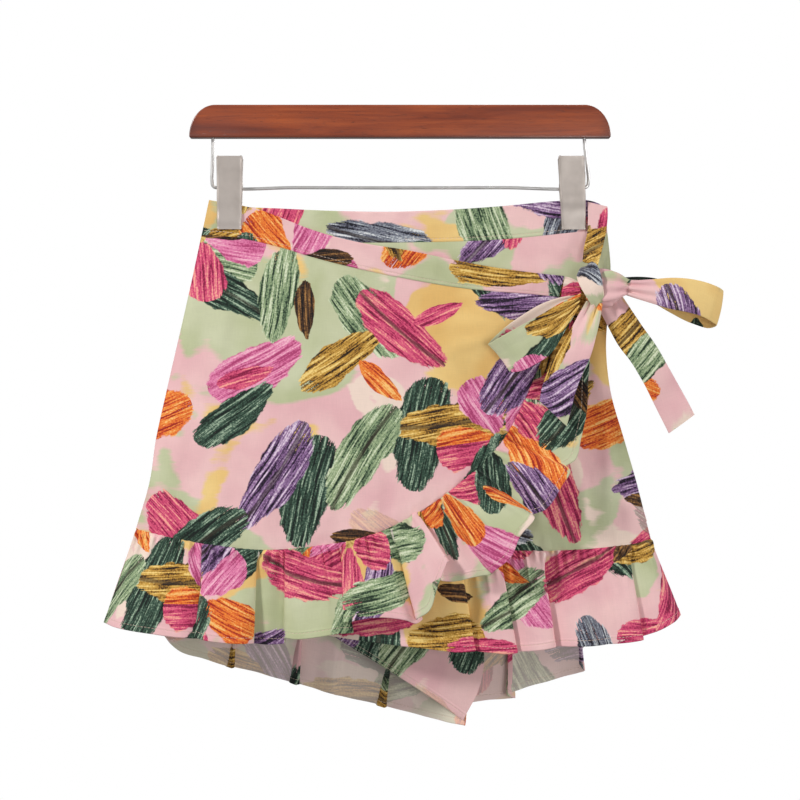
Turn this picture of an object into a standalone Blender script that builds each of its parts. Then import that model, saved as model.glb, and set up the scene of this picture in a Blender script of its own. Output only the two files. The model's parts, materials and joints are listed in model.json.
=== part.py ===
"""A wrap-front skort with ruffled hems and a tied side bow, held in a clip hanger.

The frame: X to the right as seen from the front, Z up, the front faces -Y.
The origin is the middle of the hanger bar's flat top.  Sizes are in
millimetres here and become metres when a mesh is made.

Every cloth piece is one wall.  A panel is a patch between four edges, and its
depth follows one shared form (form_depth) plus the layer that it lies in.  A
ruffle is a strip between its seam and its pleated hem.
"""
import math

import bmesh
import bpy
import numpy as np

for old in list(bpy.data.objects):
    bpy.data.objects.remove(old, do_unlink=True)

MM = 0.001

# ---- driving sizes, mm -------------------------------------------------
CLOTH = 1.0            # one ply of cloth
BAND = 2.0             # a waistband, folded and lined with itself
TIE = 1.2              # the ties, folded
SEAM = 0.5             # gap where two cut edges are sewn together
LAYER = {              # middle of each wall in front of (-) or behind (+) the form
    "waistband_front": -1.3,
    "waistband_back": 1.3,
    "wrap_band": -4.0,
    "shorts_front": -0.8,
    "front_under": -2.1,
    "front_over": -3.6,
    "back": 0.8,
}

# The outline of the hanging garment, side seams: height, left x, right x.
OUTLINE = [  # z, left, right
    (-80.0, -163.4, 177.0),
    (-111.0, -169.8, 177.5),
    (-142.0, -176.2, 180.5),
    (-167.0, -182.0, 179.0),
    (-210.0, -191.9, 176.5),
    (-243.5, -199.6, 180.0),
    (-286.5, -209.0, 192.0),
    (-321.0, -214.0, 202.0),
    (-363.0, -226.2, 212.5),
    (-440.0, -252.5, 238.5),
    (-530.0, -274.0, 262.0),
]
FORM = [  # z, half depth of the form in the middle
    (-80.0, 0.0),
    (-106.0, 0.0),
    (-140.0, 2.0),
    (-180.0, 4.5),
    (-240.0, 8.0),
    (-300.0, 10.5),
    (-370.0, 12.5),
    (-450.0, 14.0),
    (-530.0, 14.0),
]
WAIST_BULGE = 6.0      # how far the waist stands open between the clips
WAIST_LEFT, WAIST_RIGHT = -130.0, 131.0
SHORTS_SHARE = [       # z, part of the form's depth that the shorts' front takes
    (-80.0, 1.0), (-140.0, 1.0), (-185.0, 0.85), (-240.0, 0.6), (-290.0, 0.55), (-560.0, 0.55),
]

# ---- edges of the panels: x, z, extra depth ----------------------------
WAIST_TOP = [
    (-163.3, -81.6, 0.0), (-134.5, -86.6, 0.0), (-102.6, -88.4, 0.0),
    (-47.0, -91.0, 0.0), (0.0, -91.5, 0.0), (25.6, -90.6, 0.0),
    (85.4, -86.6, 0.0), (137.0, -81.8, 0.0), (159.0, -81.0, 0.0),
    (170.0, -84.0, 0.0), (176.8, -88.7, 0.0),
]
WAIST_SEAM = [
    (-169.5, -110.6, 0.0), (-128.2, -113.8, 0.0), (-59.8, -117.6, 0.0),
    (5.1, -118.0, 0.0), (100.8, -114.0, 0.0), (138.6, -110.0, 0.0),
    (177.3, -106.0, 0.0),
]
WRAP_TOP = [
    (-163.3, -81.3, 0.0), (-134.3, -86.3, 0.0), (-118.0, -90.3, -0.3),
    (-105.0, -95.2, -0.6), (-80.2, -105.1, -1.0), (-63.1, -110.9, -1.2),
    (-33.3, -118.3, -1.6), (5.1, -124.6, -2.0), (51.1, -134.0, -2.4),
    (81.9, -139.4, -2.6), (117.8, -144.2, -3.0), (140.1, -146.5, -3.6),
]
WRAP_SEAM = [
    (-169.7, -111.1, 0.0), (-150.5, -112.2, 0.0), (-128.2, -115.6, -0.2),
    (-102.4, -121.9, -0.6), (-77.6, -129.6, -1.0), (-42.6, -138.8, -1.4),
    (5.1, -149.0, -1.8), (56.2, -157.4, -2.2), (81.8, -159.9, -2.6),
    (110.9, -162.0, -3.0), (135.6, -164.5, -3.6),
]
SEAM_OVER = [
    (-226.0, -362.8, 0.0), (-198.0, -369.0, -3.5), (-171.6, -373.6, -6.0),
    (-116.0, -379.2, -9.0), (-63.4, -374.8, -10.0), (-29.6, -368.2, -10.5),
    (5.1, -353.4, -10.5), (34.7, -334.8, -10.5), (55.9, -318.5, -10.0),
    (76.3, -300.2, -9.5), (96.0, -271.9, -9.0), (113.1, -235.4, -8.0),
    (123.5, -210.0, -7.0), (133.0, -182.5, -5.0),
]
UNDER_LEFT = [
    (-60.0, -118.2, 0.0), (-62.0, -250.0, 0.0), (-62.0, -374.0, -1.0),
]
UNDER_SEAM = [
    (-62.0, -374.0, -1.0), (20.0, -378.7, -1.5), (96.7, -380.5, -1.5),
    (130.4, -380.6, -1.5), (181.3, -377.4, -1.0), (204.0, -374.4, -0.5),
    (214.6, -371.5, 0.0),
]
CENTRE_FRONT = [
    (4.0, -118.6, 0.0), (17.0, -269.4, 0.0), (27.3, -410.5, 3.0),
]
SHORT_L_IN = CENTRE_FRONT[:2] + [
    (27.3, -408.0, 11.5), (58.0, -436.5, 11.8), (71.8, -466.6, 12.2),
    (68.6, -497.5, 12.8), (54.0, -527.8, 13.5),
]
SHORT_L_HEM = [
    (-222.2, -352.0, 0.0), (-171.1, -381.0, 0.0), (-111.1, -419.5, 1.0),
    (-53.8, -456.2, 3.0), (0.0, -490.0, 6.0), (34.2, -513.0, 10.0),
    (54.0, -527.8, 13.5),
]
SHORT_R_IN = CENTRE_FRONT[:2] + [
    (28.6, -408.0, 18.0), (50.0, -440.0, 19.5), (58.0, -470.0, 20.5),
    (59.0, -500.0, 21.0), (57.0, -514.0, 21.5),
]
SHORT_R_HEM = [
    (57.0, -514.0, 21.5), (66.0, -486.0, 20.0), (76.0, -462.0, 17.0),
    (103.0, -437.0, 10.0), (155.0, -404.0, 3.0), (211.5, -356.0, 0.0),
]
CENTRE_BACK = [(4.0, -118.6, 0.0), (14.0, -269.4, 0.0)]
BACK_L_IN = CENTRE_BACK + [(24.0, -400.0, -7.5), (45.0, -430.0, -8.5), (66.0, -458.0, -8.5)]
BACK_L_SEAM = [
    (-226.6, -364.0, 0.0), (-203.0, -378.5, 0.0), (-161.9, -398.0, 0.0),
    (-96.2, -417.0, 0.0), (-17.3, -436.1, -2.0), (34.6, -450.7, -6.0),
    (66.0, -458.0, -8.5),
]
BACK_R_IN = CENTRE_BACK + [(24.8, -400.0, 0.5), (32.0, -430.0, 2.0), (38.0, -450.0, 3.5)]
BACK_R_SEAM = [
    (38.0, -450.0, 3.5), (65.0, -441.0, 3.5), (97.0, -430.5, 3.0),
    (156.7, -408.2, 1.0), (214.0, -369.0, 0.0),
]

# ---- pleated hems: seam place (0 to 1), x, z, depth y ------------------
# A row for each turn of a pleat, from the left end of the strip to the right.
HEM_OVER = [  # at, x, z, y
    (0.000, -252.6, -443.5, -2.0), (0.030, -238.0, -446.4, -21.0),
    (0.075, -211.0, -450.0, -31.0), (0.110, -184.0, -453.2, -32.0),
    (0.128, -168.5, -454.0, -27.0), (0.134, -162.5, -453.5, -23.0),
    (0.138, -171.5, -452.4, -31.5), (0.150, -164.0, -454.8, -38.0),
    (0.185, -147.0, -457.0, -39.5), (0.215, -131.5, -457.8, -37.0),
    (0.232, -125.6, -457.6, -31.5), (0.238, -131.0, -457.2, -25.5),
    (0.262, -112.0, -459.3, -24.5), (0.282, -96.0, -457.5, -25.0),
    (0.286, -95.0, -453.6, -32.0), (0.300, -87.0, -453.8, -38.5),
    (0.330, -68.0, -451.8, -39.5), (0.358, -50.0, -449.2, -37.0),
    (0.380, -40.5, -448.8, -32.0), (0.392, -48.5, -447.0, -27.0),
    (0.400, -49.0, -441.8, -31.5), (0.415, -39.5, -438.8, -37.0),
    (0.440, -14.5, -435.3, -41.0), (0.462, 4.5, -437.8, -41.0),
    (0.478, 13.5, -440.6, -37.5), (0.486, 19.0, -437.0, -32.5),
    (0.492, 16.5, -435.8, -42.0), (0.505, 24.0, -430.0, -46.5),
    (0.522, 31.5, -410.5, -46.0), (0.536, 39.5, -388.5, -43.0),
    (0.546, 33.0, -404.0, -36.0), (0.556, 43.5, -405.5, -34.0),
    (0.568, 62.0, -402.0, -34.5), (0.580, 77.0, -398.8, -36.0),
    (0.590, 79.5, -396.0, -42.5), (0.612, 93.5, -384.0, -45.0),
    (0.640, 101.0, -367.0, -44.0), (0.665, 112.5, -352.5, -40.0),
    (0.676, 110.5, -350.5, -33.5), (0.690, 121.5, -345.5, -33.0),
    (0.705, 126.5, -340.5, -39.0), (0.725, 136.5, -324.5, -40.5),
    (0.745, 143.0, -313.0, -37.0), (0.755, 140.0, -309.0, -31.0),
    (0.770, 147.5, -303.5, -31.5), (0.795, 153.0, -285.0, -32.0),
    (0.840, 158.5, -258.0, -27.5), (0.880, 159.5, -238.0, -23.5),
    (0.930, 161.5, -212.0, -19.5), (0.970, 162.0, -197.0, -16.5),
    (1.000, 161.5, -187.0, -14.0),
]
HEM_UNDER = [
    (0.000, -63.0, -452.0, -20.0), (0.060, -42.0, -455.0, -23.5),
    (0.140, -15.0, -458.5, -26.5), (0.210, 4.0, -461.0, -27.5),
    (0.270, 22.0, -462.8, -26.0), (0.320, 36.0, -464.5, -28.5),
    (0.370, 55.0, -465.6, -31.0), (0.400, 62.5, -465.0, -27.0),
    (0.408, 56.0, -464.6, -20.5), (0.425, 66.0, -465.2, -21.5),
    (0.455, 77.5, -466.0, -28.5), (0.495, 90.5, -467.2, -30.0),
    (0.525, 97.8, -466.6, -26.0), (0.533, 91.5, -465.6, -19.5),
    (0.552, 102.0, -465.5, -21.5), (0.585, 112.0, -464.6, -28.5),
    (0.625, 123.0, -463.4, -29.5), (0.655, 129.7, -462.0, -25.5),
    (0.663, 124.0, -461.8, -18.5), (0.685, 136.0, -461.4, -21.0),
    (0.720, 148.5, -461.0, -27.5), (0.760, 161.0, -460.8, -28.0),
    (0.795, 170.0, -460.3, -23.5), (0.825, 176.5, -459.6, -20.5),
    (0.860, 187.0, -458.6, -25.0), (0.900, 198.0, -457.2, -26.5),
    (0.925, 204.6, -456.2, -22.5), (0.932, 199.0, -455.6, -16.0),
    (0.945, 208.5, -452.6, -16.5), (0.965, 220.5, -448.2, -18.5),
    (0.985, 231.5, -442.6, -14.0), (1.000, 238.6, -437.6, -2.0),
]
HEM_BACK_L = [
    (0.000, -252.3, -442.3, 2.0), (0.060, -229.5, -450.0, 17.0),
    (0.130, -206.0, -456.5, 25.0), (0.155, -200.0, -464.0, 27.0),
    (0.180, -192.5, -470.6, 28.0), (0.235, -172.0, -477.5, 28.0),
    (0.300, -151.5, -483.6, 27.0), (0.318, -144.5, -485.0, 22.5),
    (0.335, -150.0, -484.2, 31.0), (0.400, -122.0, -490.8, 32.0),
    (0.485, -95.5, -498.2, 30.5), (0.500, -88.0, -499.8, 25.5),
    (0.515, -94.0, -498.6, 34.0), (0.560, -76.0, -503.6, 34.0),
    (0.595, -66.5, -506.4, 29.5), (0.610, -58.0, -508.6, 26.0),
    (0.640, -50.0, -510.8, 31.0), (0.720, -20.0, -517.8, 31.0),
    (0.765, -12.5, -519.6, 26.0), (0.775, -18.5, -518.6, 33.0),
    (0.850, 14.0, -525.8, 29.0), (0.920, 35.0, -530.4, 20.0),
    (1.000, 55.0, -532.5, 6.8),
]
HEM_BACK_R = [
    (0.000, 45.0, -519.5, 25.0), (0.080, 56.0, -516.8, 28.5),
    (0.180, 76.0, -514.2, 32.5), (0.260, 92.0, -513.2, 33.5),
    (0.300, 98.0, -512.0, 30.5), (0.312, 92.0, -508.0, 24.0),
    (0.335, 103.0, -504.6, 26.5), (0.420, 122.0, -500.0, 34.0),
    (0.520, 142.0, -494.4, 35.0), (0.585, 155.0, -490.4, 32.0),
    (0.605, 160.5, -487.6, 27.5), (0.625, 156.5, -478.0, 33.5),
    (0.650, 161.5, -467.5, 34.5), (0.690, 173.0, -461.5, 34.0),
    (0.780, 191.0, -456.0, 31.0), (0.860, 209.0, -449.5, 24.5),
    (0.930, 224.5, -443.5, 15.0), (1.000, 238.2, -438.2, 2.0),
]

# ---- ties: a row for each section of the ribbon ------------------------
# x, z, y of its middle, width, lean of its width from upright (degrees,
# towards +X) and swing of its width towards the front (degrees).
TIE_STRAP = [  # x, z, y, width, lean, swing
    (169.0, -85.0, -4.4, 17.4, 103.0, 0.0), (169.1, -97.0, -4.8, 16.8, 93.0, 0.0),
    (167.9, -109.5, -6.4, 15.8, 97.0, 0.0), (164.4, -124.0, -10.0, 15.4, 102.0, 0.0),
    (161.8, -136.0, -14.5, 13.5, 104.0, 0.0),
]
TIE_WRAP = [
    (138.9, -155.8, -11.4, 17.5, 12.0, 0.0), (144.0, -156.2, -12.8, 16.0, 10.0, 0.0),
    (149.5, -156.8, -15.0, 12.0, 6.0, 0.0), (153.5, -157.2, -17.5, 9.5, 0.0, 0.0),
]
LOOP_RIGHT = [
    (191.0, -157.0, -24.0, 12.5, 4.0, 0.0), (200.0, -158.8, -27.0, 15.5, 4.0, 0.0),
    (212.0, -160.4, -30.0, 20.0, 5.0, 0.0), (228.0, -162.2, -33.0, 26.0, 7.0, 0.0),
    (244.0, -164.4, -34.0, 28.0, 10.0, 0.0), (258.0, -168.0, -32.0, 28.5, 14.0, 0.0),
    (268.5, -172.8, -27.0, 29.5, 14.0, 0.0), (272.0, -175.0, -20.0, 29.5, 11.0, 0.0),
    (267.0, -177.4, -14.0, 28.5, 12.0, 0.0), (252.0, -174.4, -11.5, 26.5, 12.0, 0.0),
    (232.0, -165.8, -12.0, 25.0, 7.0, 0.0), (213.0, -158.2, -14.0, 20.0, 4.0, 0.0),
    (200.0, -155.2, -16.0, 15.0, 4.0, 0.0), (191.0, -153.8, -17.0, 11.0, 4.0, 0.0),
]
LOOP_LEFT = [
    (151.5, -168.6, -27.0, 12.5, 8.0, 0.0), (137.5, -181.8, -31.0, 22.5, -12.5, 0.0),
    (121.8, -197.2, -34.5, 32.5, -22.0, 0.0), (105.0, -207.6, -36.0, 34.5, -31.0, 0.0),
    (91.5, -214.4, -33.5, 33.4, -34.6, 0.0), (84.4, -216.4, -28.0, 30.0, -38.0, 0.0),
    (88.0, -212.6, -22.5, 30.5, -37.0, 0.0), (100.0, -203.0, -20.0, 33.0, -31.0, 0.0),
    (112.0, -194.6, -19.5, 33.0, -27.5, 0.0), (127.0, -183.6, -19.5, 29.0, -21.0, 0.0),
    (142.0, -173.4, -20.5, 18.0, -12.0, 0.0), (150.5, -169.6, -21.5, 11.0, 0.0, 0.0),
]
TAIL_RIGHT = [
    (180.5, -177.2, -19.5, 13.0, 52.0, 0.0), (187.5, -187.0, -20.5, 21.0, 52.0, 0.0),
    (195.8, -198.5, -21.5, 26.0, 54.0, 0.0), (206.4, -213.0, -22.0, 25.5, 58.0, 0.0),
    (217.0, -231.0, -21.5, 25.0, 62.0, 0.0), (227.6, -250.5, -20.0, 26.0, 62.0, 0.0),
    (239.2, -272.8, -18.5, 27.0, 54.0, 0.0),
]
TAIL_LEFT = [
    (160.2, -180.6, -28.5, 12.0, 104.0, 0.0), (154.4, -196.0, -34.0, 22.5, 102.5, 0.0),
    (147.4, -212.0, -38.0, 26.6, 105.0, 0.0), (140.8, -225.0, -39.5, 27.6, 108.0, 0.0),
    (134.2, -241.4, -40.0, 28.2, 111.0, 0.0), (128.6, -263.8, -40.0, 31.0, 132.7, 0.0),
]
KNOT = {"x": 172.6, "z": -157.4, "y": -20.0, "half_x": 17.0, "half_z": 17.6,
        "half_y": 9.0, "lean": 12.0, "power": 2.6}

# ---- hanger ------------------------------------------------------------
BAR = {"half": 180.2, "flat": 158.0, "height": 28.0, "depth": 13.0, "edge": 1.8}
WIRE_D = 2.8
WIRE_Z = -70.3
WIRE_PATH = [  # x, z
    (-160.3, -21.0), (-160.4, -36.0), (-160.9, -55.0), (-161.1, -65.6),
    (-160.5, -68.6), (-158.9, -70.1), (-156.6, -70.4), (-90.0, -70.4),
    (0.0, -70.6), (90.0, -70.4), (156.9, -70.4), (159.2, -70.1),
    (160.8, -68.6), (161.4, -65.6), (160.8, -55.0), (158.4, -36.0),
    (158.0, -29.0), (158.0, -21.0),
]
CLIPS = {  # middle x at the top and at the jaw, cloth faces gripped
    "left": {"top_x": -145.4, "jaw_x": -145.9, "front": -5.0, "back": 2.3},
    "right": {"top_x": 146.2, "jaw_x": 149.0, "front": -2.3, "back": 2.3},
}
CLIP = {"top_z": -44.2, "jaw_z": -106.4, "width": 22.6, "jaw_width": 21.2,
        "sheet": 1.2, "spread": 10.5, "flange": 5.4, "flange_top": -60.0,
        "flange_low": -82.0, "bore": 2.5}


# ---- mathematics of the cloth ------------------------------------------
def flow(knots, values, at):
    """Smooth curve through rows of values at their knots, read at 'at'."""
    k = np.asarray(knots, float)
    p = np.asarray(values, float)
    if p.ndim == 1:
        p = p[:, None]
    h = np.diff(k)
    d = np.diff(p, axis=0) / h[:, None]
    m = np.empty_like(p)
    m[0], m[-1] = d[0], d[-1]
    if len(k) > 2:
        m[1:-1] = (d[:-1] * h[1:, None] + d[1:] * h[:-1, None]) / (h[:-1] + h[1:])[:, None]
    a = np.clip(np.asarray(at, float), k[0], k[-1])
    i = np.clip(np.searchsorted(k, a, side="right") - 1, 0, len(h) - 1)
    t = ((a - k[i]) / h[i])[..., None]
    hh = h[i][..., None]
    return ((2 * t**3 - 3 * t**2 + 1) * p[i] + (t**3 - 2 * t**2 + t) * hh * m[i]
            + (-2 * t**3 + 3 * t**2) * p[i + 1] + (t**3 - t**2) * hh * m[i + 1])


def along(rows, at):
    """Point of a row table's curve at a fraction of its length."""
    p = np.asarray(rows, float)
    k = np.concatenate([[0.0], np.cumsum(np.linalg.norm(np.diff(p[:, :2], axis=0), axis=1))])
    return flow(k / k[-1], p, at)


def table(rows, column, at):
    """Column of a table whose first column falls."""
    p = np.asarray(rows, float)
    return np.interp(-np.asarray(at, float), -p[:, 0], p[:, column])


def form_depth(x, z):
    """Half the depth of the hanging garment at a point of its outline."""
    left, right = table(OUTLINE, 1, z), table(OUTLINE, 2, z)
    xi = np.clip((2 * x - left - right) / (right - left), -1.0, 1.0)
    full = table(FORM, 1, z) * (1 - np.abs(xi) ** 3)
    a = np.clip((x - WAIST_LEFT) / (WAIST_RIGHT - WAIST_LEFT), 0.0, 1.0)
    fade = np.clip((z + 190.0) / 80.0, 0.0, 1.0)
    fade = fade * fade * (3 - 2 * fade)
    return full + WAIST_BULGE * np.sin(np.pi * a) ** 2 * fade


def patch(top, bottom, left, right, u, v):
    """Patch between four edges, each a table of x, z, extra."""
    u, v = np.meshgrid(u, v, indexing="ij")
    a, b = along(top, u), along(bottom, u)
    c, d = along(left, v), along(right, v)
    uu, vv = u[..., None], v[..., None]
    p00, p10 = np.asarray(top[0], float), np.asarray(top[-1], float)
    p01, p11 = np.asarray(bottom[0], float), np.asarray(bottom[-1], float)
    corners = ((1 - uu) * (1 - vv) * p00 + uu * (1 - vv) * p10
               + (1 - uu) * vv * p01 + uu * vv * p11)
    q = (1 - vv) * a + vv * b + (1 - uu) * c + uu * d - corners
    return q[..., 0], q[..., 1], q[..., 2]


def straight(a, b):
    return [tuple(a), tuple((np.asarray(a) + np.asarray(b)) / 2), tuple(b)]


def shifted(rows, dx=0.0, dz=0.0):
    return [(r[0] + dx, r[1] + dz) + tuple(r[2:]) for r in rows]


def panel_points(layer, edges, u, v, side=-1.0, share=1.0, low=None, high=None):
    """Middle of a panel's wall: the patch laid on the shared form."""
    x, z, extra = patch(*edges, u, v)
    extra = np.clip(extra, low, high) if low is not None or high is not None else extra
    if not isinstance(share, float):
        share = table(share, 1, z)
    y = side * share * form_depth(x, z) + LAYER[layer] + extra
    return np.stack([x, y, z], axis=-1)


def hem_curve(hem):
    """Knots of a pleat table by the length of its hem, and its points x, y, z."""
    rows = np.asarray(hem, float)
    pts = rows[:, [1, 3, 2]]
    k = np.concatenate([[0.0], np.cumsum(np.linalg.norm(np.diff(pts, axis=0), axis=1))])
    return k / k[-1], rows[:, 0], pts


def hem_mean(hem, width=0.035):
    """The hem with its pleats smoothed away: places at the seam, and points."""
    k, at, pts = hem_curve(hem)
    dense = np.linspace(0, 1, 601)
    p = flow(k, pts, dense)
    a = np.interp(dense, k, at)
    weight = np.gradient(a).clip(1e-6)
    mean = np.empty_like(p)
    for i in range(len(dense)):
        # a straight line through the neighbours keeps the ends true
        da = a - a[i]
        w = np.exp(-0.5 * (da / width) ** 2) * weight
        s0, s1, s2 = w.sum(), (w * da).sum(), (w * da * da).sum()
        mean[i] = (w * (s2 - s1 * da)) / (s0 * s2 - s1 * s1) @ p
    return a, mean


def opened(hem, least=1.5, slope_room=0.45):
    """A pleat table whose turns never fold back over each other."""
    a, mean = hem_mean(hem)
    _, at, pts = hem_curve(hem)
    run = np.concatenate([[0.0], np.cumsum(np.linalg.norm(np.diff(mean[:, [0, 2]], axis=0), axis=1))])
    slope = np.gradient(mean, axis=0)
    slope[:, 1] = 0.0
    slope /= np.linalg.norm(slope, axis=1)[:, None]
    rows, last, depth = [], -1e9, 0.0
    for place, point in zip(at, pts):
        m = np.array([np.interp(place, a, mean[:, c]) for c in range(3)])
        d = np.array([np.interp(place, a, slope[:, c]) for c in range(3)])
        here = float(np.interp(place, a, run))
        ahead = float((point - m) @ d)
        moved = max(here + ahead, last + least + slope_room * abs(point[1] - depth))
        last, depth = moved, point[1]
        q = point + d * (moved - here - ahead)
        rows.append((place, q[0], q[2], q[1]))
    return rows


def strip_points(seam, hem, s, t, drop=1.0, fold=1.0):
    """Middle of a ruffle's wall: from its seam to its pleated hem.

    seam gives the sewn edge's points at a fraction of its length, hem is the
    pleat table, s runs along the hem and t down from the seam.
    """
    k, at, pts = hem_curve(hem)
    a, mean = hem_mean(hem)
    hem_s = flow(k, pts, s)
    at_s = np.interp(s, k, at)
    mean_s = np.stack([np.interp(at_s, a, mean[:, c]) for c in range(3)], axis=-1)
    top = seam(at_s)
    fall = mean_s - top
    fall /= np.linalg.norm(fall, axis=1)[:, None]
    top = top + fall * drop
    tt = np.asarray(t, float)[None, :, None]
    return (top[:, None] + (mean_s - top)[:, None] * tt
            + (hem_s - mean_s)[:, None] * tt ** fold)


def ribbon_points(rows, s, t):
    """Middle of a tie's wall: sections along its run."""
    p = np.asarray(rows, float)
    k = np.concatenate([[0.0], np.cumsum(np.linalg.norm(np.diff(p[:, :3], axis=0), axis=1))])
    q = flow(k / k[-1], p, s)
    lean, swing = np.radians(q[:, 4]), np.radians(q[:, 5])
    w = np.stack([np.sin(lean) * np.cos(swing), -np.sin(swing), np.cos(lean) * np.cos(swing)], axis=-1)
    c = q[:, [0, 2, 1]]
    off = (np.asarray(t) - 0.5)[None, :, None] * (q[:, 3][:, None] * w)[:, None]
    return c[:, None] + off


# ---- meshes ------------------------------------------------------------
def material(name, colour, rough, metal=0.0):
    mat = bpy.data.materials.new(name)
    mat.use_nodes = True
    node = mat.node_tree.nodes["Principled BSDF"]
    node.inputs["Base Color"].default_value = (*colour, 1.0)
    node.inputs["Roughness"].default_value = rough
    node.inputs["Metallic"].default_value = metal
    return mat


def add(name, verts, faces, mat, smooth=False):
    mesh = bpy.data.meshes.new(name)
    mesh.from_pydata([tuple(v) for v in verts], [], [tuple(f) for f in faces])
    mesh.validate()
    mesh.update()
    ob = bpy.data.objects.new(name, mesh)
    bpy.context.scene.collection.objects.link(ob)
    mesh.materials.append(mat)
    if smooth:
        mesh.shade_smooth()
        mesh.set_sharp_from_angle(angle=math.radians(40))
    return ob


def wall(name, mid, thick, mat):
    """Closed wall of even thickness about a grid of middle points, mm."""
    du = np.gradient(mid, axis=0)
    dv = np.gradient(mid, axis=1)
    n = np.cross(du, dv)
    n /= np.linalg.norm(n, axis=-1)[..., None]
    front = mid + n * thick / 2
    back = mid - n * thick / 2
    nu, nv = mid.shape[:2]
    verts = np.concatenate([front.reshape(-1, 3), back.reshape(-1, 3)]) * MM
    half = nu * nv

    def at(i, j, side=0):
        return side * half + i * nv + j

    faces = []
    for i in range(nu - 1):
        for j in range(nv - 1):
            a, b, c, d = at(i, j), at(i + 1, j), at(i + 1, j + 1), at(i, j + 1)
            faces += [(a, b, c), (a, c, d)]
            faces += [(a + half, c + half, b + half), (a + half, d + half, c + half)]
    rim = ([(i, 0) for i in range(nu - 1)] + [(nu - 1, j) for j in range(nv - 1)]
           + [(i, nv - 1) for i in range(nu - 1, 0, -1)] + [(0, j) for j in range(nv - 1, 0, -1)])
    for k, (i, j) in enumerate(rim):
        i2, j2 = rim[(k + 1) % len(rim)]
        a, b = at(i, j), at(i2, j2)
        faces += [(b, a, a + half), (b, a + half, b + half)]
    ob = add(name, verts, faces, mat)
    turn_out(ob)
    return ob


def turn_out(ob):
    """Faces of a closed mesh point outwards."""
    bm = bmesh.new()
    bm.from_mesh(ob.data)
    if bm.calc_volume(signed=True) < 0:
        bmesh.ops.reverse_faces(bm, faces=bm.faces[:])
    bm.to_mesh(ob.data)
    bm.free()


def spaced(n, power=1.0):
    return np.linspace(0, 1, n + 1) ** power


def pleat_places(hem, steps):
    """Places along a hem: each pleat row and the steps between two rows."""
    k = hem_curve(hem)[0]
    out = []
    for a, b in zip(k[:-1], k[1:]):
        out += [a + (b - a) * i / steps for i in range(steps)]
    return np.array(out + [1.0])


PRINT_PINK = material("cloth_print", (0.86, 0.66, 0.62), 0.85)
PRINT_BAND = material("cloth_band", (0.80, 0.72, 0.52), 0.85)
PRINT_SAGE = material("cloth_ruffle", (0.66, 0.70, 0.52), 0.85)
PRINT_TIE = material("cloth_tie", (0.88, 0.62, 0.45), 0.85)
WOOD = material("stained_wood", (0.36, 0.13, 0.06), 0.35)
NICKEL = material("nickel_wire", (0.72, 0.71, 0.69), 0.28, 1.0)
PLATE = material("clip_plate", (0.62, 0.57, 0.53), 0.4, 0.8)

# ---- bands -------------------------------------------------------------
side_l = straight(WAIST_TOP[0], WAIST_SEAM[0])
side_r = straight(WAIST_TOP[-1], WAIST_SEAM[-1])
wall("waistband_front", panel_points("waistband_front", (WAIST_TOP, WAIST_SEAM, side_l, side_r),
                                     spaced(22), spaced(2)), BAND, PRINT_BAND)
low_top, low_seam = shifted(WAIST_TOP, dz=-1.5), shifted(WAIST_SEAM, dz=-1.5)
wall("waistband_back", panel_points("waistband_back",
                                    (low_top, low_seam, straight(low_top[0], low_seam[0]),
                                     straight(low_top[-1], low_seam[-1])),
                                    spaced(22), spaced(2), side=1.0), BAND, PRINT_BAND)
wall("wrap_band", panel_points("wrap_band", (WRAP_TOP, WRAP_SEAM, straight(WRAP_TOP[0], WRAP_SEAM[0]),
                                             straight(WRAP_TOP[-1], WRAP_SEAM[-1])),
                               spaced(24), spaced(2)), BAND, PRINT_BAND)

# ---- panels ------------------------------------------------------------
OVER_TOP = shifted(WRAP_SEAM, dz=-SEAM)
OVER_LEFT = [(-169.7, -111.6, 0.0), (-182.0, -167.0, 0.0), (-199.6, -243.8, 0.0),
             (-209.0, -286.6, 0.0), (-214.0, -321.0, 0.0), (-226.0, -362.8, 0.0)]
OVER_RIGHT = straight(OVER_TOP[-1], SEAM_OVER[-1])
OVER = (OVER_TOP, SEAM_OVER, OVER_LEFT, OVER_RIGHT)
wall("front_over", panel_points("front_over", OVER, spaced(26), spaced(8)), CLOTH, PRINT_PINK)

UNDER_TOP = [(r[0], r[1] - SEAM, 0.0) for r in
             [tuple(along(WAIST_SEAM, a)) for a in (0.318, 0.45, 0.6, 0.75, 0.9, 1.0)]]
UNDER_LEFT[0] = UNDER_TOP[0]
UNDER_RIGHT = [UNDER_TOP[-1], (180.4, -142.0, 0.0), (179.0, -167.0, 0.0), (176.5, -210.0, 0.0),
               (180.0, -243.5, 0.0), (192.0, -286.5, 0.0), (202.0, -321.0, 0.0),
               UNDER_SEAM[-1]]
UNDER = (UNDER_TOP, UNDER_SEAM, UNDER_LEFT, UNDER_RIGHT)
wall("front_under", panel_points("front_under", UNDER, spaced(14), spaced(10)), CLOTH, PRINT_PINK)

SHORT_L_TOP = [(r[0], r[1] - SEAM, 0.0) for r in
               [tuple(along(WAIST_SEAM, a)) for a in (0.0, 0.12, 0.25, 0.38, 0.494)]]
SHORT_R_TOP = [(r[0], r[1] - SEAM, 0.0) for r in
               [tuple(along(WAIST_SEAM, a)) for a in (0.497, 0.62, 0.75, 0.88, 1.0)]]
SHORT_L_LEFT = [SHORT_L_TOP[0], (-181.1, -167.0, 0.0), (-198.8, -243.8, 0.0),
                (-213.0, -321.0, 0.0), SHORT_L_HEM[0]]
SHORT_R_RIGHT = [SHORT_R_TOP[-1], (180.0, -142.0, 0.0), (176.0, -210.0, 0.0),
                 (179.5, -243.5, 0.0), (191.4, -286.5, 0.0), (201.2, -321.0, 0.0),
                 SHORT_R_HEM[-1]]
left_in = [SHORT_L_TOP[-1]] + [(r[0] - 0.4, r[1], r[2]) for r in SHORT_L_IN[1:2]] + SHORT_L_IN[2:]
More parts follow.
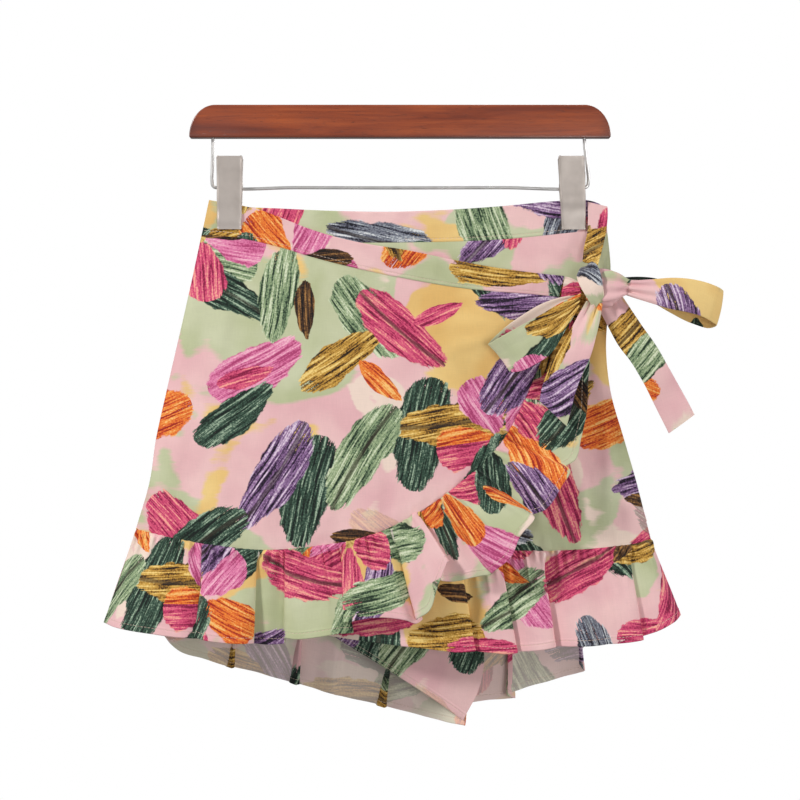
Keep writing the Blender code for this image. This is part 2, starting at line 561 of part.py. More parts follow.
right_in = [SHORT_R_TOP[0]] + [(r[0] + 0.4, r[1], r[2]) for r in SHORT_R_IN[1:2]] + SHORT_R_IN[2:]
SHORT_L = (SHORT_L_TOP, SHORT_L_HEM, SHORT_L_LEFT, left_in)
SHORT_R = (SHORT_R_TOP, SHORT_R_HEM, right_in, SHORT_R_RIGHT)
wall("shorts_front_left", panel_points("shorts_front", SHORT_L, spaced(12), spaced(12), share=SHORTS_SHARE,
                                       low=0.0), CLOTH, PRINT_PINK)
wall("shorts_front_right", panel_points("shorts_front", SHORT_R, spaced(12), spaced(12), share=SHORTS_SHARE,
                                        low=0.0), CLOTH, PRINT_PINK)

BACK_L_TOP = shifted(SHORT_L_TOP, dz=-1.5)
BACK_R_TOP = shifted(SHORT_R_TOP, dz=-1.5)
BACK_L_LEFT = [BACK_L_TOP[0], (-181.5, -167.0, 0.0), (-199.2, -243.8, 0.0),
               (-213.6, -321.0, 0.0), BACK_L_SEAM[0]]
BACK_R_RIGHT = [BACK_R_TOP[-1], (180.2, -142.0, 0.0), (176.3, -210.0, 0.0),
                (179.8, -243.5, 0.0), (191.7, -286.5, 0.0), (201.6, -321.0, 0.0),
                BACK_R_SEAM[-1]]
back_l_in = [BACK_L_TOP[-1]] + [(r[0] - 0.4, r[1], r[2]) for r in BACK_L_IN[1:2]] + BACK_L_IN[2:]
back_r_in = [BACK_R_TOP[0]] + [(r[0] + 0.4, r[1], r[2]) for r in BACK_R_IN[1:2]] + BACK_R_IN[2:]
BACK_L = (BACK_L_TOP, BACK_L_SEAM, BACK_L_LEFT, back_l_in)
BACK_R = (BACK_R_TOP, BACK_R_SEAM, back_r_in, BACK_R_RIGHT)
wall("back_left", panel_points("back", BACK_L, spaced(12), spaced(10), side=1.0, high=0.0),
     CLOTH, PRINT_PINK)
wall("back_right", panel_points("back", BACK_R, spaced(12), spaced(10), side=1.0, low=0.0),
     CLOTH, PRINT_PINK)


# ---- ruffles -----------------------------------------------------------
def seam_of(layer, edges, side=-1.0):
    """Lower edge of a panel as points at a fraction of its length."""
    def at(a):
        q = along(edges[1], a)
        y = side * form_depth(q[:, 0], q[:, 1]) + LAYER[layer] + q[:, 2]
        return np.stack([q[:, 0], y, q[:, 1]], axis=-1)
    return at


for name, layer, edges, hem, side in (
        ("ruffle_over", "front_over", OVER, HEM_OVER, -1.0),
        ("ruffle_under", "front_under", UNDER, HEM_UNDER, -1.0),
        ("ruffle_back_left", "back", BACK_L, HEM_BACK_L, 1.0),
        ("ruffle_back_right", "back", BACK_R, HEM_BACK_R, 1.0)):
    hem = opened(hem)
    wall(name, strip_points(seam_of(layer, edges, side), hem, pleat_places(hem, 2), spaced(3),
                            drop=SEAM + 0.2), CLOTH, PRINT_SAGE)

# ---- ties and bow ------------------------------------------------------
for name, rows, n in (("tie_strap", TIE_STRAP, 8), ("tie_wrap", TIE_WRAP, 5),
                      ("bow_loop_right", LOOP_RIGHT, 26), ("bow_loop_left", LOOP_LEFT, 24),
                      ("bow_tail_right", TAIL_RIGHT, 12), ("bow_tail_left", TAIL_LEFT, 10)):
    wall(name, ribbon_points(rows, spaced(n), spaced(2)), TIE, PRINT_TIE)


def knot():
    """The knot: a rounded lump of wound tie, squarer than a ball."""
    k = KNOT
    rings, sides = 9, 16
    e = 2.0 / k["power"]
    lean = math.radians(k["lean"])

    def power(value, exponent):
        return math.copysign(abs(value) ** exponent, value)

    def place(phi, theta):
        x = k["half_x"] * power(math.cos(phi), e) * power(math.cos(theta), e)
        y = k["half_y"] * power(math.cos(phi), e) * power(math.sin(theta), e)
        z = k["half_z"] * power(math.sin(phi), e)
        return ((k["x"] + x * math.cos(lean) + z * math.sin(lean)) * MM,
                (k["y"] + y) * MM,
                (k["z"] - x * math.sin(lean) + z * math.cos(lean)) * MM)

    verts = [place(-math.pi / 2, 0.0)]
    for i in range(1, rings):
        phi = -math.pi / 2 + math.pi * i / rings
        verts += [place(phi, 2 * math.pi * j / sides) for j in range(sides)]
    verts.append(place(math.pi / 2, 0.0))
    last = len(verts) - 1
    faces = []
    for j in range(sides):
        n = (j + 1) % sides
        faces.append((0, 1 + n, 1 + j))
        faces.append((last, last - sides + j, last - sides + n))
    for i in range(rings - 2):
        for j in range(sides):
            n = (j + 1) % sides
            a, b = 1 + i * sides, 1 + (i + 1) * sides
            faces += [(a + j, a + n, b + n), (a + j, b + n, b + j)]
    ob = add("bow_knot", verts, faces, PRINT_TIE, smooth=True)
    turn_out(ob)


knot()


# ---- hanger ------------------------------------------------------------
def prism(name, outline, low_y, high_y, mat, bevel=0.0, segments=2):
    """Outline in X and Z, mm, extruded along Y."""
    n = len(outline)
    verts = ([(x * MM, low_y * MM, z * MM) for x, z in outline]
             + [(x * MM, high_y * MM, z * MM) for x, z in outline])
    faces = [tuple(range(n)), tuple(range(2 * n - 1, n - 1, -1))]
    faces += [(i, i + n, (i + 1) % n + n, (i + 1) % n) for i in range(n)]
    ob = add(name, verts, faces, mat)
    turn_out(ob)
    if bevel:
        mod = ob.modifiers.new("edge", "BEVEL")
        mod.width = bevel * MM
        mod.segments = segments
        mod.limit_method = "ANGLE"
        mod.angle_limit = math.radians(50)
    return ob


def rod(name, radius, a, b, sides=16):
    """Round cutter between two points, mm."""
    a, b = np.asarray(a, float), np.asarray(b, float)
    axis = (b - a) / np.linalg.norm(b - a)
    side = np.cross(axis, (0.0, 1.0, 0.0) if abs(axis[1]) < 0.9 else (1.0, 0.0, 0.0))
    side /= np.linalg.norm(side)
    up = np.cross(axis, side)
    ring = [side * math.cos(2 * math.pi * i / sides) + up * math.sin(2 * math.pi * i / sides)
            for i in range(sides)]
    verts = [(a + radius * r) * MM for r in ring] + [(b + radius * r) * MM for r in ring]
    faces = [tuple(range(sides)), tuple(range(2 * sides - 1, sides - 1, -1))]
    faces += [(i, i + sides, (i + 1) % sides + sides, (i + 1) % sides) for i in range(sides)]
    ob = add(name, verts, faces, NICKEL)
    turn_out(ob)
    ob.hide_render = True
    ob.display_type = "WIRE"
    return ob


def cut(ob, cutter):
    mod = ob.modifiers.new("cut_" + cutter.name, "BOOLEAN")
    mod.operation = "DIFFERENCE"
    mod.object = cutter


bar_outline = [(-BAR["half"], -BAR["height"])]
corner_x = BAR["half"] - BAR["flat"]
for i in range(9):
    a = math.pi / 2 * i / 8
    bar_outline.append((-BAR["flat"] - corner_x * math.cos(a), -BAR["height"] * 0.96 * (1 - math.sin(a))))
for i in range(9):
    a = math.pi / 2 * (8 - i) / 8
    bar_outline.append((BAR["flat"] + corner_x * math.cos(a), -BAR["height"] * 0.96 * (1 - math.sin(a))))
bar_outline.append((BAR["half"], -BAR["height"]))
bar = prism("hanger_bar", bar_outline, -BAR["depth"] / 2, BAR["depth"] / 2, WOOD, BAR["edge"])
for label, foot in (("left", WIRE_PATH[0]), ("right", WIRE_PATH[-1])):
    cut(bar, rod("socket_" + label, WIRE_D / 2 + 0.35, (foot[0], 0.0, -40.0), (foot[0], 0.0, -20.0)))

wire_data = bpy.data.curves.new("hanger_wire", "CURVE")
wire_data.dimensions = "3D"
wire_data.bevel_depth = WIRE_D / 2 * MM
wire_data.bevel_resolution = 2
wire_data.use_fill_caps = True
run = np.asarray(WIRE_PATH, float)
leg = np.concatenate([[0.0], np.cumsum(np.linalg.norm(np.diff(run, axis=0), axis=1))])
stations = []
for i in range(len(run) - 1):
    parts = 3 if leg[i + 1] - leg[i] < 4.0 else 1
    stations += [leg[i] + (leg[i + 1] - leg[i]) * k / parts for k in range(parts)]
stations.append(leg[-1])
wire_points = flow(leg, run, stations)
spline = wire_data.splines.new("POLY")
spline.points.add(len(wire_points) - 1)
for point, (x, z) in zip(spline.points, wire_points):
    point.co = (x * MM, 0.0, z * MM, 1.0)
wire = bpy.data.objects.new("hanger_wire", wire_data)
bpy.context.scene.collection.objects.link(wire)
wire_data.materials.append(NICKEL)


def clip_half(label, face, clip, side):
    """One pressed plate of a clip: thumb tab above, jaw below, two ears."""
    sheet, spread = CLIP["sheet"], CLIP["spread"]
    grip = (abs(clip[face]) + 0.3) * side
    # plate line in Y and Z: tab, shoulder, waist by the pivot, jaw
    line = [(CLIP["top_z"], side * spread), (CLIP["flange_top"], side * (spread - 2.2)),
            (CLIP["flange_low"], side * (spread - 3.2)), (CLIP["jaw_z"] + 8.0, grip + side * 0.9),
            (CLIP["jaw_z"], grip)]
    verts, faces = [], []
    for z, y in line:
        f = (z - CLIP["top_z"]) / (CLIP["jaw_z"] - CLIP["top_z"])
        mid = clip["top_x"] + (clip["jaw_x"] - clip["top_x"]) * f
        half = (CLIP["width"] + (CLIP["jaw_width"] - CLIP["width"]) * f) / 2
        verts += [(mid - half, y, z), (mid + half, y, z),
                  (mid + half, y + side * sheet, z), (mid - half, y + side * sheet, z)]
    for i in range(len(line) - 1):
        a, b = 4 * i, 4 * (i + 1)
        faces += [(a + k, a + (k + 1) % 4, b + (k + 1) % 4, b + k) for k in range(4)]
    faces += [(3, 2, 1, 0), tuple(4 * (len(line) - 1) + k for k in range(4))]
    plate = add(f"clip_{label}_{face}", np.asarray(verts) * MM, faces, PLATE)
    turn_out(plate)
    inset = 0.0 if face == "front" else CLIP["sheet"] + 0.5
    f = (WIRE_Z - CLIP["top_z"]) / (CLIP["jaw_z"] - CLIP["top_z"])
    mid = clip["top_x"] + (clip["jaw_x"] - clip["top_x"]) * f
    half = (CLIP["width"] + (CLIP["jaw_width"] - CLIP["width"]) * f) / 2 - 0.15 - inset
    for hand in (-1, 1):
        x0, x1 = sorted((mid + hand * half, mid + hand * (half - sheet)))
        y0 = side * (spread - 2.0)
        ear = [(y0, CLIP["flange_top"] - 1.0), (y0, CLIP["flange_low"] + 1.0),
               (-side * 0.6, WIRE_Z - 4.2), (-side * 3.2, WIRE_Z - 2.4),
               (-side * 3.2, WIRE_Z + 2.4), (-side * 0.6, WIRE_Z + 4.2)]
        n = len(ear)
        v = [(x0, y, z) for y, z in ear] + [(x1, y, z) for y, z in ear]
        fc = [tuple(range(n)), tuple(range(2 * n - 1, n - 1, -1))]
        fc += [(i, i + n, (i + 1) % n + n, (i + 1) % n) for i in range(n)]
        tab = add(f"ear_{label}_{face}_{'l' if hand < 0 else 'r'}", np.asarray(v) * MM, fc, PLATE)
        turn_out(tab)
        tab.hide_render = True
        tab.display_type = "WIRE"
        mod = plate.modifiers.new("ear", "BOOLEAN")
        mod.operation = "UNION"
        mod.object = tab
    cut(plate, rod(f"bore_{label}_{face}", CLIP["bore"], (mid - 20.0, 0.0, WIRE_Z), (mid + 20.0, 0.0, WIRE_Z)))
    return plate


for label, clip in CLIPS.items():
    clip_half(label, "front", clip, -1.0)
    clip_half(label, "back", clip, 1.0)
    mid = (clip["top_x"] + clip["jaw_x"]) / 2
    ring_in, ring_out, length, sides = CLIP["bore"], 3.7, 7.0, 14
    verts, faces = [], []
    for x, radius in ((-length, ring_in), (length, ring_in), (length, ring_out), (-length, ring_out)):
        verts += [((mid + x) * MM, radius * math.cos(2 * math.pi * i / sides) * MM,
                   (WIRE_Z + radius * math.sin(2 * math.pi * i / sides)) * MM) for i in range(sides)]
    for ring in range(4):
        a, b = ring * sides, (ring + 1) % 4 * sides
        faces += [(a + i, a + (i + 1) % sides, b + (i + 1) % sides, b + i) for i in range(sides)]
    spring = add(f"clip_{label}_spring", verts, faces, NICKEL, smooth=True)
    turn_out(spring)
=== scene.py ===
"""The visual model of a wrap-front skort with ruffled hems, held in a clip hanger.

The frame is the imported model's: X to the right as seen from the front, Z up,
the front faces -Y, origin in the middle of the hanger bar's flat top.  Sizes
are in millimetres here and become metres when a mesh is made.
"""
import json
import math
import random

import bmesh
import bpy
import numpy as np
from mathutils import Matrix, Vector

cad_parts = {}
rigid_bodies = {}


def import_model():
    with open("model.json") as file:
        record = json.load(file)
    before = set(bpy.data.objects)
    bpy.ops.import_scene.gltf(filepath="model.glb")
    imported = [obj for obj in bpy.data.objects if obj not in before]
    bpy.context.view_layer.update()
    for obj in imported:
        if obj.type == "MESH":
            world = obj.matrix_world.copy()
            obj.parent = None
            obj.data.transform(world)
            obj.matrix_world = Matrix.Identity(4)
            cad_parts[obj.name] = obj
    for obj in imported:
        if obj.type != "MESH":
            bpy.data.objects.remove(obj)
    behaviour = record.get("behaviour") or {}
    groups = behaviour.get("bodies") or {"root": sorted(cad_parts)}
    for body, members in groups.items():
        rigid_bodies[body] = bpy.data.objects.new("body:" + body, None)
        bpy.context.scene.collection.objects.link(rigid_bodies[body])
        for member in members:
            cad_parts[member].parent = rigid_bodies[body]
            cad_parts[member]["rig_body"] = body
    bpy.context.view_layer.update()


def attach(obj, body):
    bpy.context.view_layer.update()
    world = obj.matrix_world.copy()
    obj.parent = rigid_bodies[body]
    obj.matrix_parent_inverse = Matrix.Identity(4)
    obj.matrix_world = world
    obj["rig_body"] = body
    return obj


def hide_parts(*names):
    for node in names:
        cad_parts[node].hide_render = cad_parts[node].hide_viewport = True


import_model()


MM = 0.001

# ---- sizes of the cloth, mm --------------------------------------------
PLY = 0.7              # one ply, as seen at an edge
BAND_THICK = 1.7       # a folded band
TIE_THICK = 1.0        # a folded tie
HEM = 6.0              # depth of the turned hems
TILE = 330.0           # repeat of the print

SEAM = 0.5             # gap where two cut edges are sewn together
LAYER = {              # middle of each wall in front of (-) or behind (+) the form
    "waistband_front": -1.3,
    "waistband_back": 1.3,
    "wrap_band": -4.0,
    "shorts_front": -0.8,
    "front_under": -2.1,
    "front_over": -3.6,
    "back": 0.8,
}

# The outline of the hanging garment, side seams: height, left x, right x.
OUTLINE = [  # z, left, right
    (-80.0, -163.4, 177.0),
    (-111.0, -169.8, 177.5),
    (-142.0, -176.2, 180.5),
    (-167.0, -182.0, 179.0),
    (-210.0, -191.9, 176.5),
    (-243.5, -199.6, 180.0),
    (-286.5, -209.0, 192.0),
    (-321.0, -214.0, 202.0),
    (-363.0, -226.2, 212.5),
    (-440.0, -252.5, 238.5),
    (-530.0, -274.0, 262.0),
]
FORM = [  # z, half depth of the form in the middle
    (-80.0, 0.0),
    (-106.0, 0.0),
    (-140.0, 2.0),
    (-180.0, 4.5),
    (-240.0, 8.0),
    (-300.0, 10.5),
    (-370.0, 12.5),
    (-450.0, 14.0),
    (-530.0, 14.0),
]
WAIST_BULGE = 6.0      # how far the waist stands open between the clips
WAIST_LEFT, WAIST_RIGHT = -130.0, 131.0
SHORTS_SHARE = [       # z, part of the form's depth that the shorts' front takes
    (-80.0, 1.0), (-140.0, 1.0), (-185.0, 0.85), (-240.0, 0.6), (-290.0, 0.55), (-560.0, 0.55),
]

# ---- edges of the panels: x, z, extra depth ----------------------------
WAIST_TOP = [
    (-163.3, -81.6, 0.0), (-134.5, -86.6, 0.0), (-102.6, -88.4, 0.0),
    (-47.0, -91.0, 0.0), (0.0, -91.5, 0.0), (25.6, -90.6, 0.0),
    (85.4, -86.6, 0.0), (137.0, -81.8, 0.0), (159.0, -81.0, 0.0),
    (170.0, -84.0, 0.0), (176.8, -88.7, 0.0),
]
WAIST_SEAM = [
    (-169.5, -110.6, 0.0), (-128.2, -113.8, 0.0), (-59.8, -117.6, 0.0),
    (5.1, -118.0, 0.0), (100.8, -114.0, 0.0), (138.6, -110.0, 0.0),
    (177.3, -106.0, 0.0),
]
WRAP_TOP = [
    (-163.3, -81.3, 0.0), (-134.3, -86.3, 0.0), (-118.0, -90.3, -0.3),
    (-105.0, -95.2, -0.6), (-80.2, -105.1, -1.0), (-63.1, -110.9, -1.2),
    (-33.3, -118.3, -1.6), (5.1, -124.6, -2.0), (51.1, -134.0, -2.4),
    (81.9, -139.4, -2.6), (117.8, -144.2, -3.0), (140.1, -146.5, -3.6),
]
WRAP_SEAM = [
    (-169.7, -111.1, 0.0), (-150.5, -112.2, 0.0), (-128.2, -115.6, -0.2),
    (-102.4, -121.9, -0.6), (-77.6, -129.6, -1.0), (-42.6, -138.8, -1.4),
    (5.1, -149.0, -1.8), (56.2, -157.4, -2.2), (81.8, -159.9, -2.6),
    (110.9, -162.0, -3.0), (135.6, -164.5, -3.6),
]
SEAM_OVER = [
    (-226.0, -362.8, 0.0), (-198.0, -369.0, -3.5), (-171.6, -373.6, -6.0),
    (-116.0, -379.2, -9.0), (-63.4, -374.8, -10.0), (-29.6, -368.2, -10.5),
    (5.1, -353.4, -10.5), (34.7, -334.8, -10.5), (55.9, -318.5, -10.0),
    (76.3, -300.2, -9.5), (96.0, -271.9, -9.0), (113.1, -235.4, -8.0),
    (123.5, -210.0, -7.0), (133.0, -182.5, -5.0),
]
UNDER_LEFT = [
    (-60.0, -118.2, 0.0), (-62.0, -250.0, 0.0), (-62.0, -374.0, -1.0),
]
UNDER_SEAM = [
    (-62.0, -374.0, -1.0), (20.0, -378.7, -1.5), (96.7, -380.5, -1.5),
    (130.4, -380.6, -1.5), (181.3, -377.4, -1.0), (204.0, -374.4, -0.5),
    (214.6, -371.5, 0.0),
]
CENTRE_FRONT = [
    (4.0, -118.6, 0.0), (17.0, -269.4, 0.0), (27.3, -410.5, 3.0),
]
SHORT_L_IN = CENTRE_FRONT[:2] + [
    (27.3, -408.0, 11.5), (58.0, -436.5, 11.8), (71.8, -466.6, 12.2),
    (68.6, -497.5, 12.8), (54.0, -527.8, 13.5),
]
SHORT_L_HEM = [
    (-222.2, -352.0, 0.0), (-171.1, -381.0, 0.0), (-111.1, -419.5, 1.0),
    (-53.8, -456.2, 3.0), (0.0, -490.0, 6.0), (34.2, -513.0, 10.0),
    (54.0, -527.8, 13.5),
]
SHORT_R_IN = CENTRE_FRONT[:2] + [
    (28.6, -408.0, 18.0), (50.0, -440.0, 19.5), (58.0, -470.0, 20.5),
    (59.0, -500.0, 21.0), (57.0, -514.0, 21.5),
]
SHORT_R_HEM = [
    (57.0, -514.0, 21.5), (66.0, -486.0, 20.0), (76.0, -462.0, 17.0),
    (103.0, -437.0, 10.0), (155.0, -404.0, 3.0), (211.5, -356.0, 0.0),
]
CENTRE_BACK = [(4.0, -118.6, 0.0), (14.0, -269.4, 0.0)]
BACK_L_IN = CENTRE_BACK + [(24.0, -400.0, -7.5), (45.0, -430.0, -8.5), (66.0, -458.0, -8.5)]
BACK_L_SEAM = [
    (-226.6, -364.0, 0.0), (-203.0, -378.5, 0.0), (-161.9, -398.0, 0.0),
    (-96.2, -417.0, 0.0), (-17.3, -436.1, -2.0), (34.6, -450.7, -6.0),
    (66.0, -458.0, -8.5),
]
BACK_R_IN = CENTRE_BACK + [(24.8, -400.0, 0.5), (32.0, -430.0, 2.0), (38.0, -450.0, 3.5)]
BACK_R_SEAM = [
    (38.0, -450.0, 3.5), (65.0, -441.0, 3.5), (97.0, -430.5, 3.0),
    (156.7, -408.2, 1.0), (214.0, -369.0, 0.0),
]

# ---- pleated hems: seam place (0 to 1), x, z, depth y ------------------
# A row for each turn of a pleat, from the left end of the strip to the right.
HEM_OVER = [  # at, x, z, y
    (0.000, -252.6, -443.5, -2.0), (0.030, -238.0, -446.4, -21.0),
    (0.075, -211.0, -450.0, -31.0), (0.110, -184.0, -453.2, -32.0),
    (0.128, -168.5, -454.0, -27.0), (0.134, -162.5, -453.5, -23.0),
    (0.138, -171.5, -452.4, -31.5), (0.150, -164.0, -454.8, -38.0),
    (0.185, -147.0, -457.0, -39.5), (0.215, -131.5, -457.8, -37.0),
    (0.232, -125.6, -457.6, -31.5), (0.238, -131.0, -457.2, -25.5),
    (0.262, -112.0, -459.3, -24.5), (0.282, -96.0, -457.5, -25.0),
    (0.286, -95.0, -453.6, -32.0), (0.300, -87.0, -453.8, -38.5),
    (0.330, -68.0, -451.8, -39.5), (0.358, -50.0, -449.2, -37.0),
    (0.380, -40.5, -448.8, -32.0), (0.392, -48.5, -447.0, -27.0),
    (0.400, -49.0, -441.8, -31.5), (0.415, -39.5, -438.8, -37.0),
    (0.440, -14.5, -435.3, -41.0), (0.462, 4.5, -437.8, -41.0),
    (0.478, 13.5, -440.6, -37.5), (0.486, 19.0, -437.0, -32.5),
    (0.492, 16.5, -435.8, -42.0), (0.505, 24.0, -430.0, -46.5),
    (0.522, 31.5, -410.5, -46.0), (0.536, 39.5, -388.5, -43.0),
    (0.546, 33.0, -404.0, -36.0), (0.556, 43.5, -405.5, -34.0),
    (0.568, 62.0, -402.0, -34.5), (0.580, 77.0, -398.8, -36.0),
    (0.590, 79.5, -396.0, -42.5), (0.612, 93.5, -384.0, -45.0),
    (0.640, 101.0, -367.0, -44.0), (0.665, 112.5, -352.5, -40.0),
    (0.676, 110.5, -350.5, -33.5), (0.690, 121.5, -345.5, -33.0),
    (0.705, 126.5, -340.5, -39.0), (0.725, 136.5, -324.5, -40.5),
    (0.745, 143.0, -313.0, -37.0), (0.755, 140.0, -309.0, -31.0),
    (0.770, 147.5, -303.5, -31.5), (0.795, 153.0, -285.0, -32.0),
    (0.840, 158.5, -258.0, -27.5), (0.880, 159.5, -238.0, -23.5),
    (0.930, 161.5, -212.0, -19.5), (0.970, 162.0, -197.0, -16.5),
    (1.000, 161.5, -187.0, -14.0),
]
HEM_UNDER = [
    (0.000, -63.0, -452.0, -20.0), (0.060, -42.0, -455.0, -23.5),
    (0.140, -15.0, -458.5, -26.5), (0.210, 4.0, -461.0, -27.5),
    (0.270, 22.0, -462.8, -26.0), (0.320, 36.0, -464.5, -28.5),
    (0.370, 55.0, -465.6, -31.0), (0.400, 62.5, -465.0, -27.0),
    (0.408, 56.0, -464.6, -20.5), (0.425, 66.0, -465.2, -21.5),
    (0.455, 77.5, -466.0, -28.5), (0.495, 90.5, -467.2, -30.0),
    (0.525, 97.8, -466.6, -26.0), (0.533, 91.5, -465.6, -19.5),
    (0.552, 102.0, -465.5, -21.5), (0.585, 112.0, -464.6, -28.5),
    (0.625, 123.0, -463.4, -29.5), (0.655, 129.7, -462.0, -25.5),
    (0.663, 124.0, -461.8, -18.5), (0.685, 136.0, -461.4, -21.0),
    (0.720, 148.5, -461.0, -27.5), (0.760, 161.0, -460.8, -28.0),
    (0.795, 170.0, -460.3, -23.5), (0.825, 176.5, -459.6, -20.5),
    (0.860, 187.0, -458.6, -25.0), (0.900, 198.0, -457.2, -26.5),
    (0.925, 204.6, -456.2, -22.5), (0.932, 199.0, -455.6, -16.0),
    (0.945, 208.5, -452.6, -16.5), (0.965, 220.5, -448.2, -18.5),
    (0.985, 231.5, -442.6, -14.0), (1.000, 238.6, -437.6, -2.0),
]
HEM_BACK_L = [
    (0.000, -252.3, -442.3, 2.0), (0.060, -229.5, -450.0, 17.0),
    (0.130, -206.0, -456.5, 25.0), (0.155, -200.0, -464.0, 27.0),
    (0.180, -192.5, -470.6, 28.0), (0.235, -172.0, -477.5, 28.0),
    (0.300, -151.5, -483.6, 27.0), (0.318, -144.5, -485.0, 22.5),
    (0.335, -150.0, -484.2, 31.0), (0.400, -122.0, -490.8, 32.0),
    (0.485, -95.5, -498.2, 30.5), (0.500, -88.0, -499.8, 25.5),
    (0.515, -94.0, -498.6, 34.0), (0.560, -76.0, -503.6, 34.0),
    (0.595, -66.5, -506.4, 29.5), (0.610, -58.0, -508.6, 26.0),
    (0.640, -50.0, -510.8, 31.0), (0.720, -20.0, -517.8, 31.0),
    (0.765, -12.5, -519.6, 26.0), (0.775, -18.5, -518.6, 33.0),
    (0.850, 14.0, -525.8, 29.0), (0.920, 35.0, -530.4, 20.0),
    (1.000, 55.0, -532.5, 6.8),
]
HEM_BACK_R = [
    (0.000, 45.0, -519.5, 25.0), (0.080, 56.0, -516.8, 28.5),
    (0.180, 76.0, -514.2, 32.5), (0.260, 92.0, -513.2, 33.5),
    (0.300, 98.0, -512.0, 30.5), (0.312, 92.0, -508.0, 24.0),
    (0.335, 103.0, -504.6, 26.5), (0.420, 122.0, -500.0, 34.0),
    (0.520, 142.0, -494.4, 35.0), (0.585, 155.0, -490.4, 32.0),
    (0.605, 160.5, -487.6, 27.5), (0.625, 156.5, -478.0, 33.5),
    (0.650, 161.5, -467.5, 34.5), (0.690, 173.0, -461.5, 34.0),
    (0.780, 191.0, -456.0, 31.0), (0.860, 209.0, -449.5, 24.5),
    (0.930, 224.5, -443.5, 15.0), (1.000, 238.2, -438.2, 2.0),
]

# ---- ties: a row for each section of the ribbon ------------------------
# x, z, y of its middle, width, lean of its width from upright (degrees,
# towards +X) and swing of its width towards the front (degrees).
TIE_STRAP = [  # x, z, y, width, lean, swing
    (169.0, -85.0, -4.4, 17.4, 103.0, 0.0), (169.1, -97.0, -4.8, 16.8, 93.0, 0.0),
    (167.9, -109.5, -6.4, 15.8, 97.0, 0.0), (164.4, -124.0, -10.0, 15.4, 102.0, 0.0),
    (161.8, -136.0, -14.5, 13.5, 104.0, 0.0),
]
TIE_WRAP = [
    (138.9, -155.8, -11.4, 17.5, 12.0, 0.0), (144.0, -156.2, -12.8, 16.0, 10.0, 0.0),
    (149.5, -156.8, -15.0, 12.0, 6.0, 0.0), (153.5, -157.2, -17.5, 9.5, 0.0, 0.0),
]
LOOP_RIGHT = [
    (191.0, -157.0, -24.0, 12.5, 4.0, 0.0), (200.0, -158.8, -27.0, 15.5, 4.0, 0.0),
    (212.0, -160.4, -30.0, 20.0, 5.0, 0.0), (228.0, -162.2, -33.0, 26.0, 7.0, 0.0),
    (244.0, -164.4, -34.0, 28.0, 10.0, 0.0), (258.0, -168.0, -32.0, 28.5, 14.0, 0.0),
    (268.5, -172.8, -27.0, 29.5, 14.0, 0.0), (272.0, -175.0, -20.0, 29.5, 11.0, 0.0),
    (267.0, -177.4, -14.0, 28.5, 12.0, 0.0), (252.0, -174.4, -11.5, 26.5, 12.0, 0.0),
    (232.0, -165.8, -12.0, 25.0, 7.0, 0.0), (213.0, -158.2, -14.0, 20.0, 4.0, 0.0),
    (200.0, -155.2, -16.0, 15.0, 4.0, 0.0), (191.0, -153.8, -17.0, 11.0, 4.0, 0.0),
]
LOOP_LEFT = [
    (151.5, -168.6, -27.0, 12.5, 8.0, 0.0), (137.5, -181.8, -31.0, 22.5, -12.5, 0.0),
    (121.8, -197.2, -34.5, 32.5, -22.0, 0.0), (105.0, -207.6, -36.0, 34.5, -31.0, 0.0),
    (91.5, -214.4, -33.5, 33.4, -34.6, 0.0), (84.4, -216.4, -28.0, 30.0, -38.0, 0.0),
    (88.0, -212.6, -22.5, 30.5, -37.0, 0.0), (100.0, -203.0, -20.0, 33.0, -31.0, 0.0),
    (112.0, -194.6, -19.5, 33.0, -27.5, 0.0), (127.0, -183.6, -19.5, 29.0, -21.0, 0.0),
    (142.0, -173.4, -20.5, 18.0, -12.0, 0.0), (150.5, -169.6, -21.5, 11.0, 0.0, 0.0),
]
TAIL_RIGHT = [
    (180.5, -177.2, -19.5, 13.0, 52.0, 0.0), (187.5, -187.0, -20.5, 21.0, 52.0, 0.0),
    (195.8, -198.5, -21.5, 26.0, 54.0, 0.0), (206.4, -213.0, -22.0, 25.5, 58.0, 0.0),
    (217.0, -231.0, -21.5, 25.0, 62.0, 0.0), (227.6, -250.5, -20.0, 26.0, 62.0, 0.0),
    (239.2, -272.8, -18.5, 27.0, 54.0, 0.0),
]
TAIL_LEFT = [
    (160.2, -180.6, -28.5, 12.0, 104.0, 0.0), (154.4, -196.0, -34.0, 22.5, 102.5, 0.0),
    (147.4, -212.0, -38.0, 26.6, 105.0, 0.0), (140.8, -225.0, -39.5, 27.6, 108.0, 0.0),
    (134.2, -241.4, -40.0, 28.2, 111.0, 0.0), (128.6, -263.8, -40.0, 31.0, 132.7, 0.0),
]
KNOT = {"x": 172.6, "z": -157.4, "y": -20.0, "half_x": 17.0, "half_z": 17.6,
        "half_y": 9.0, "lean": 12.0, "power": 2.6}

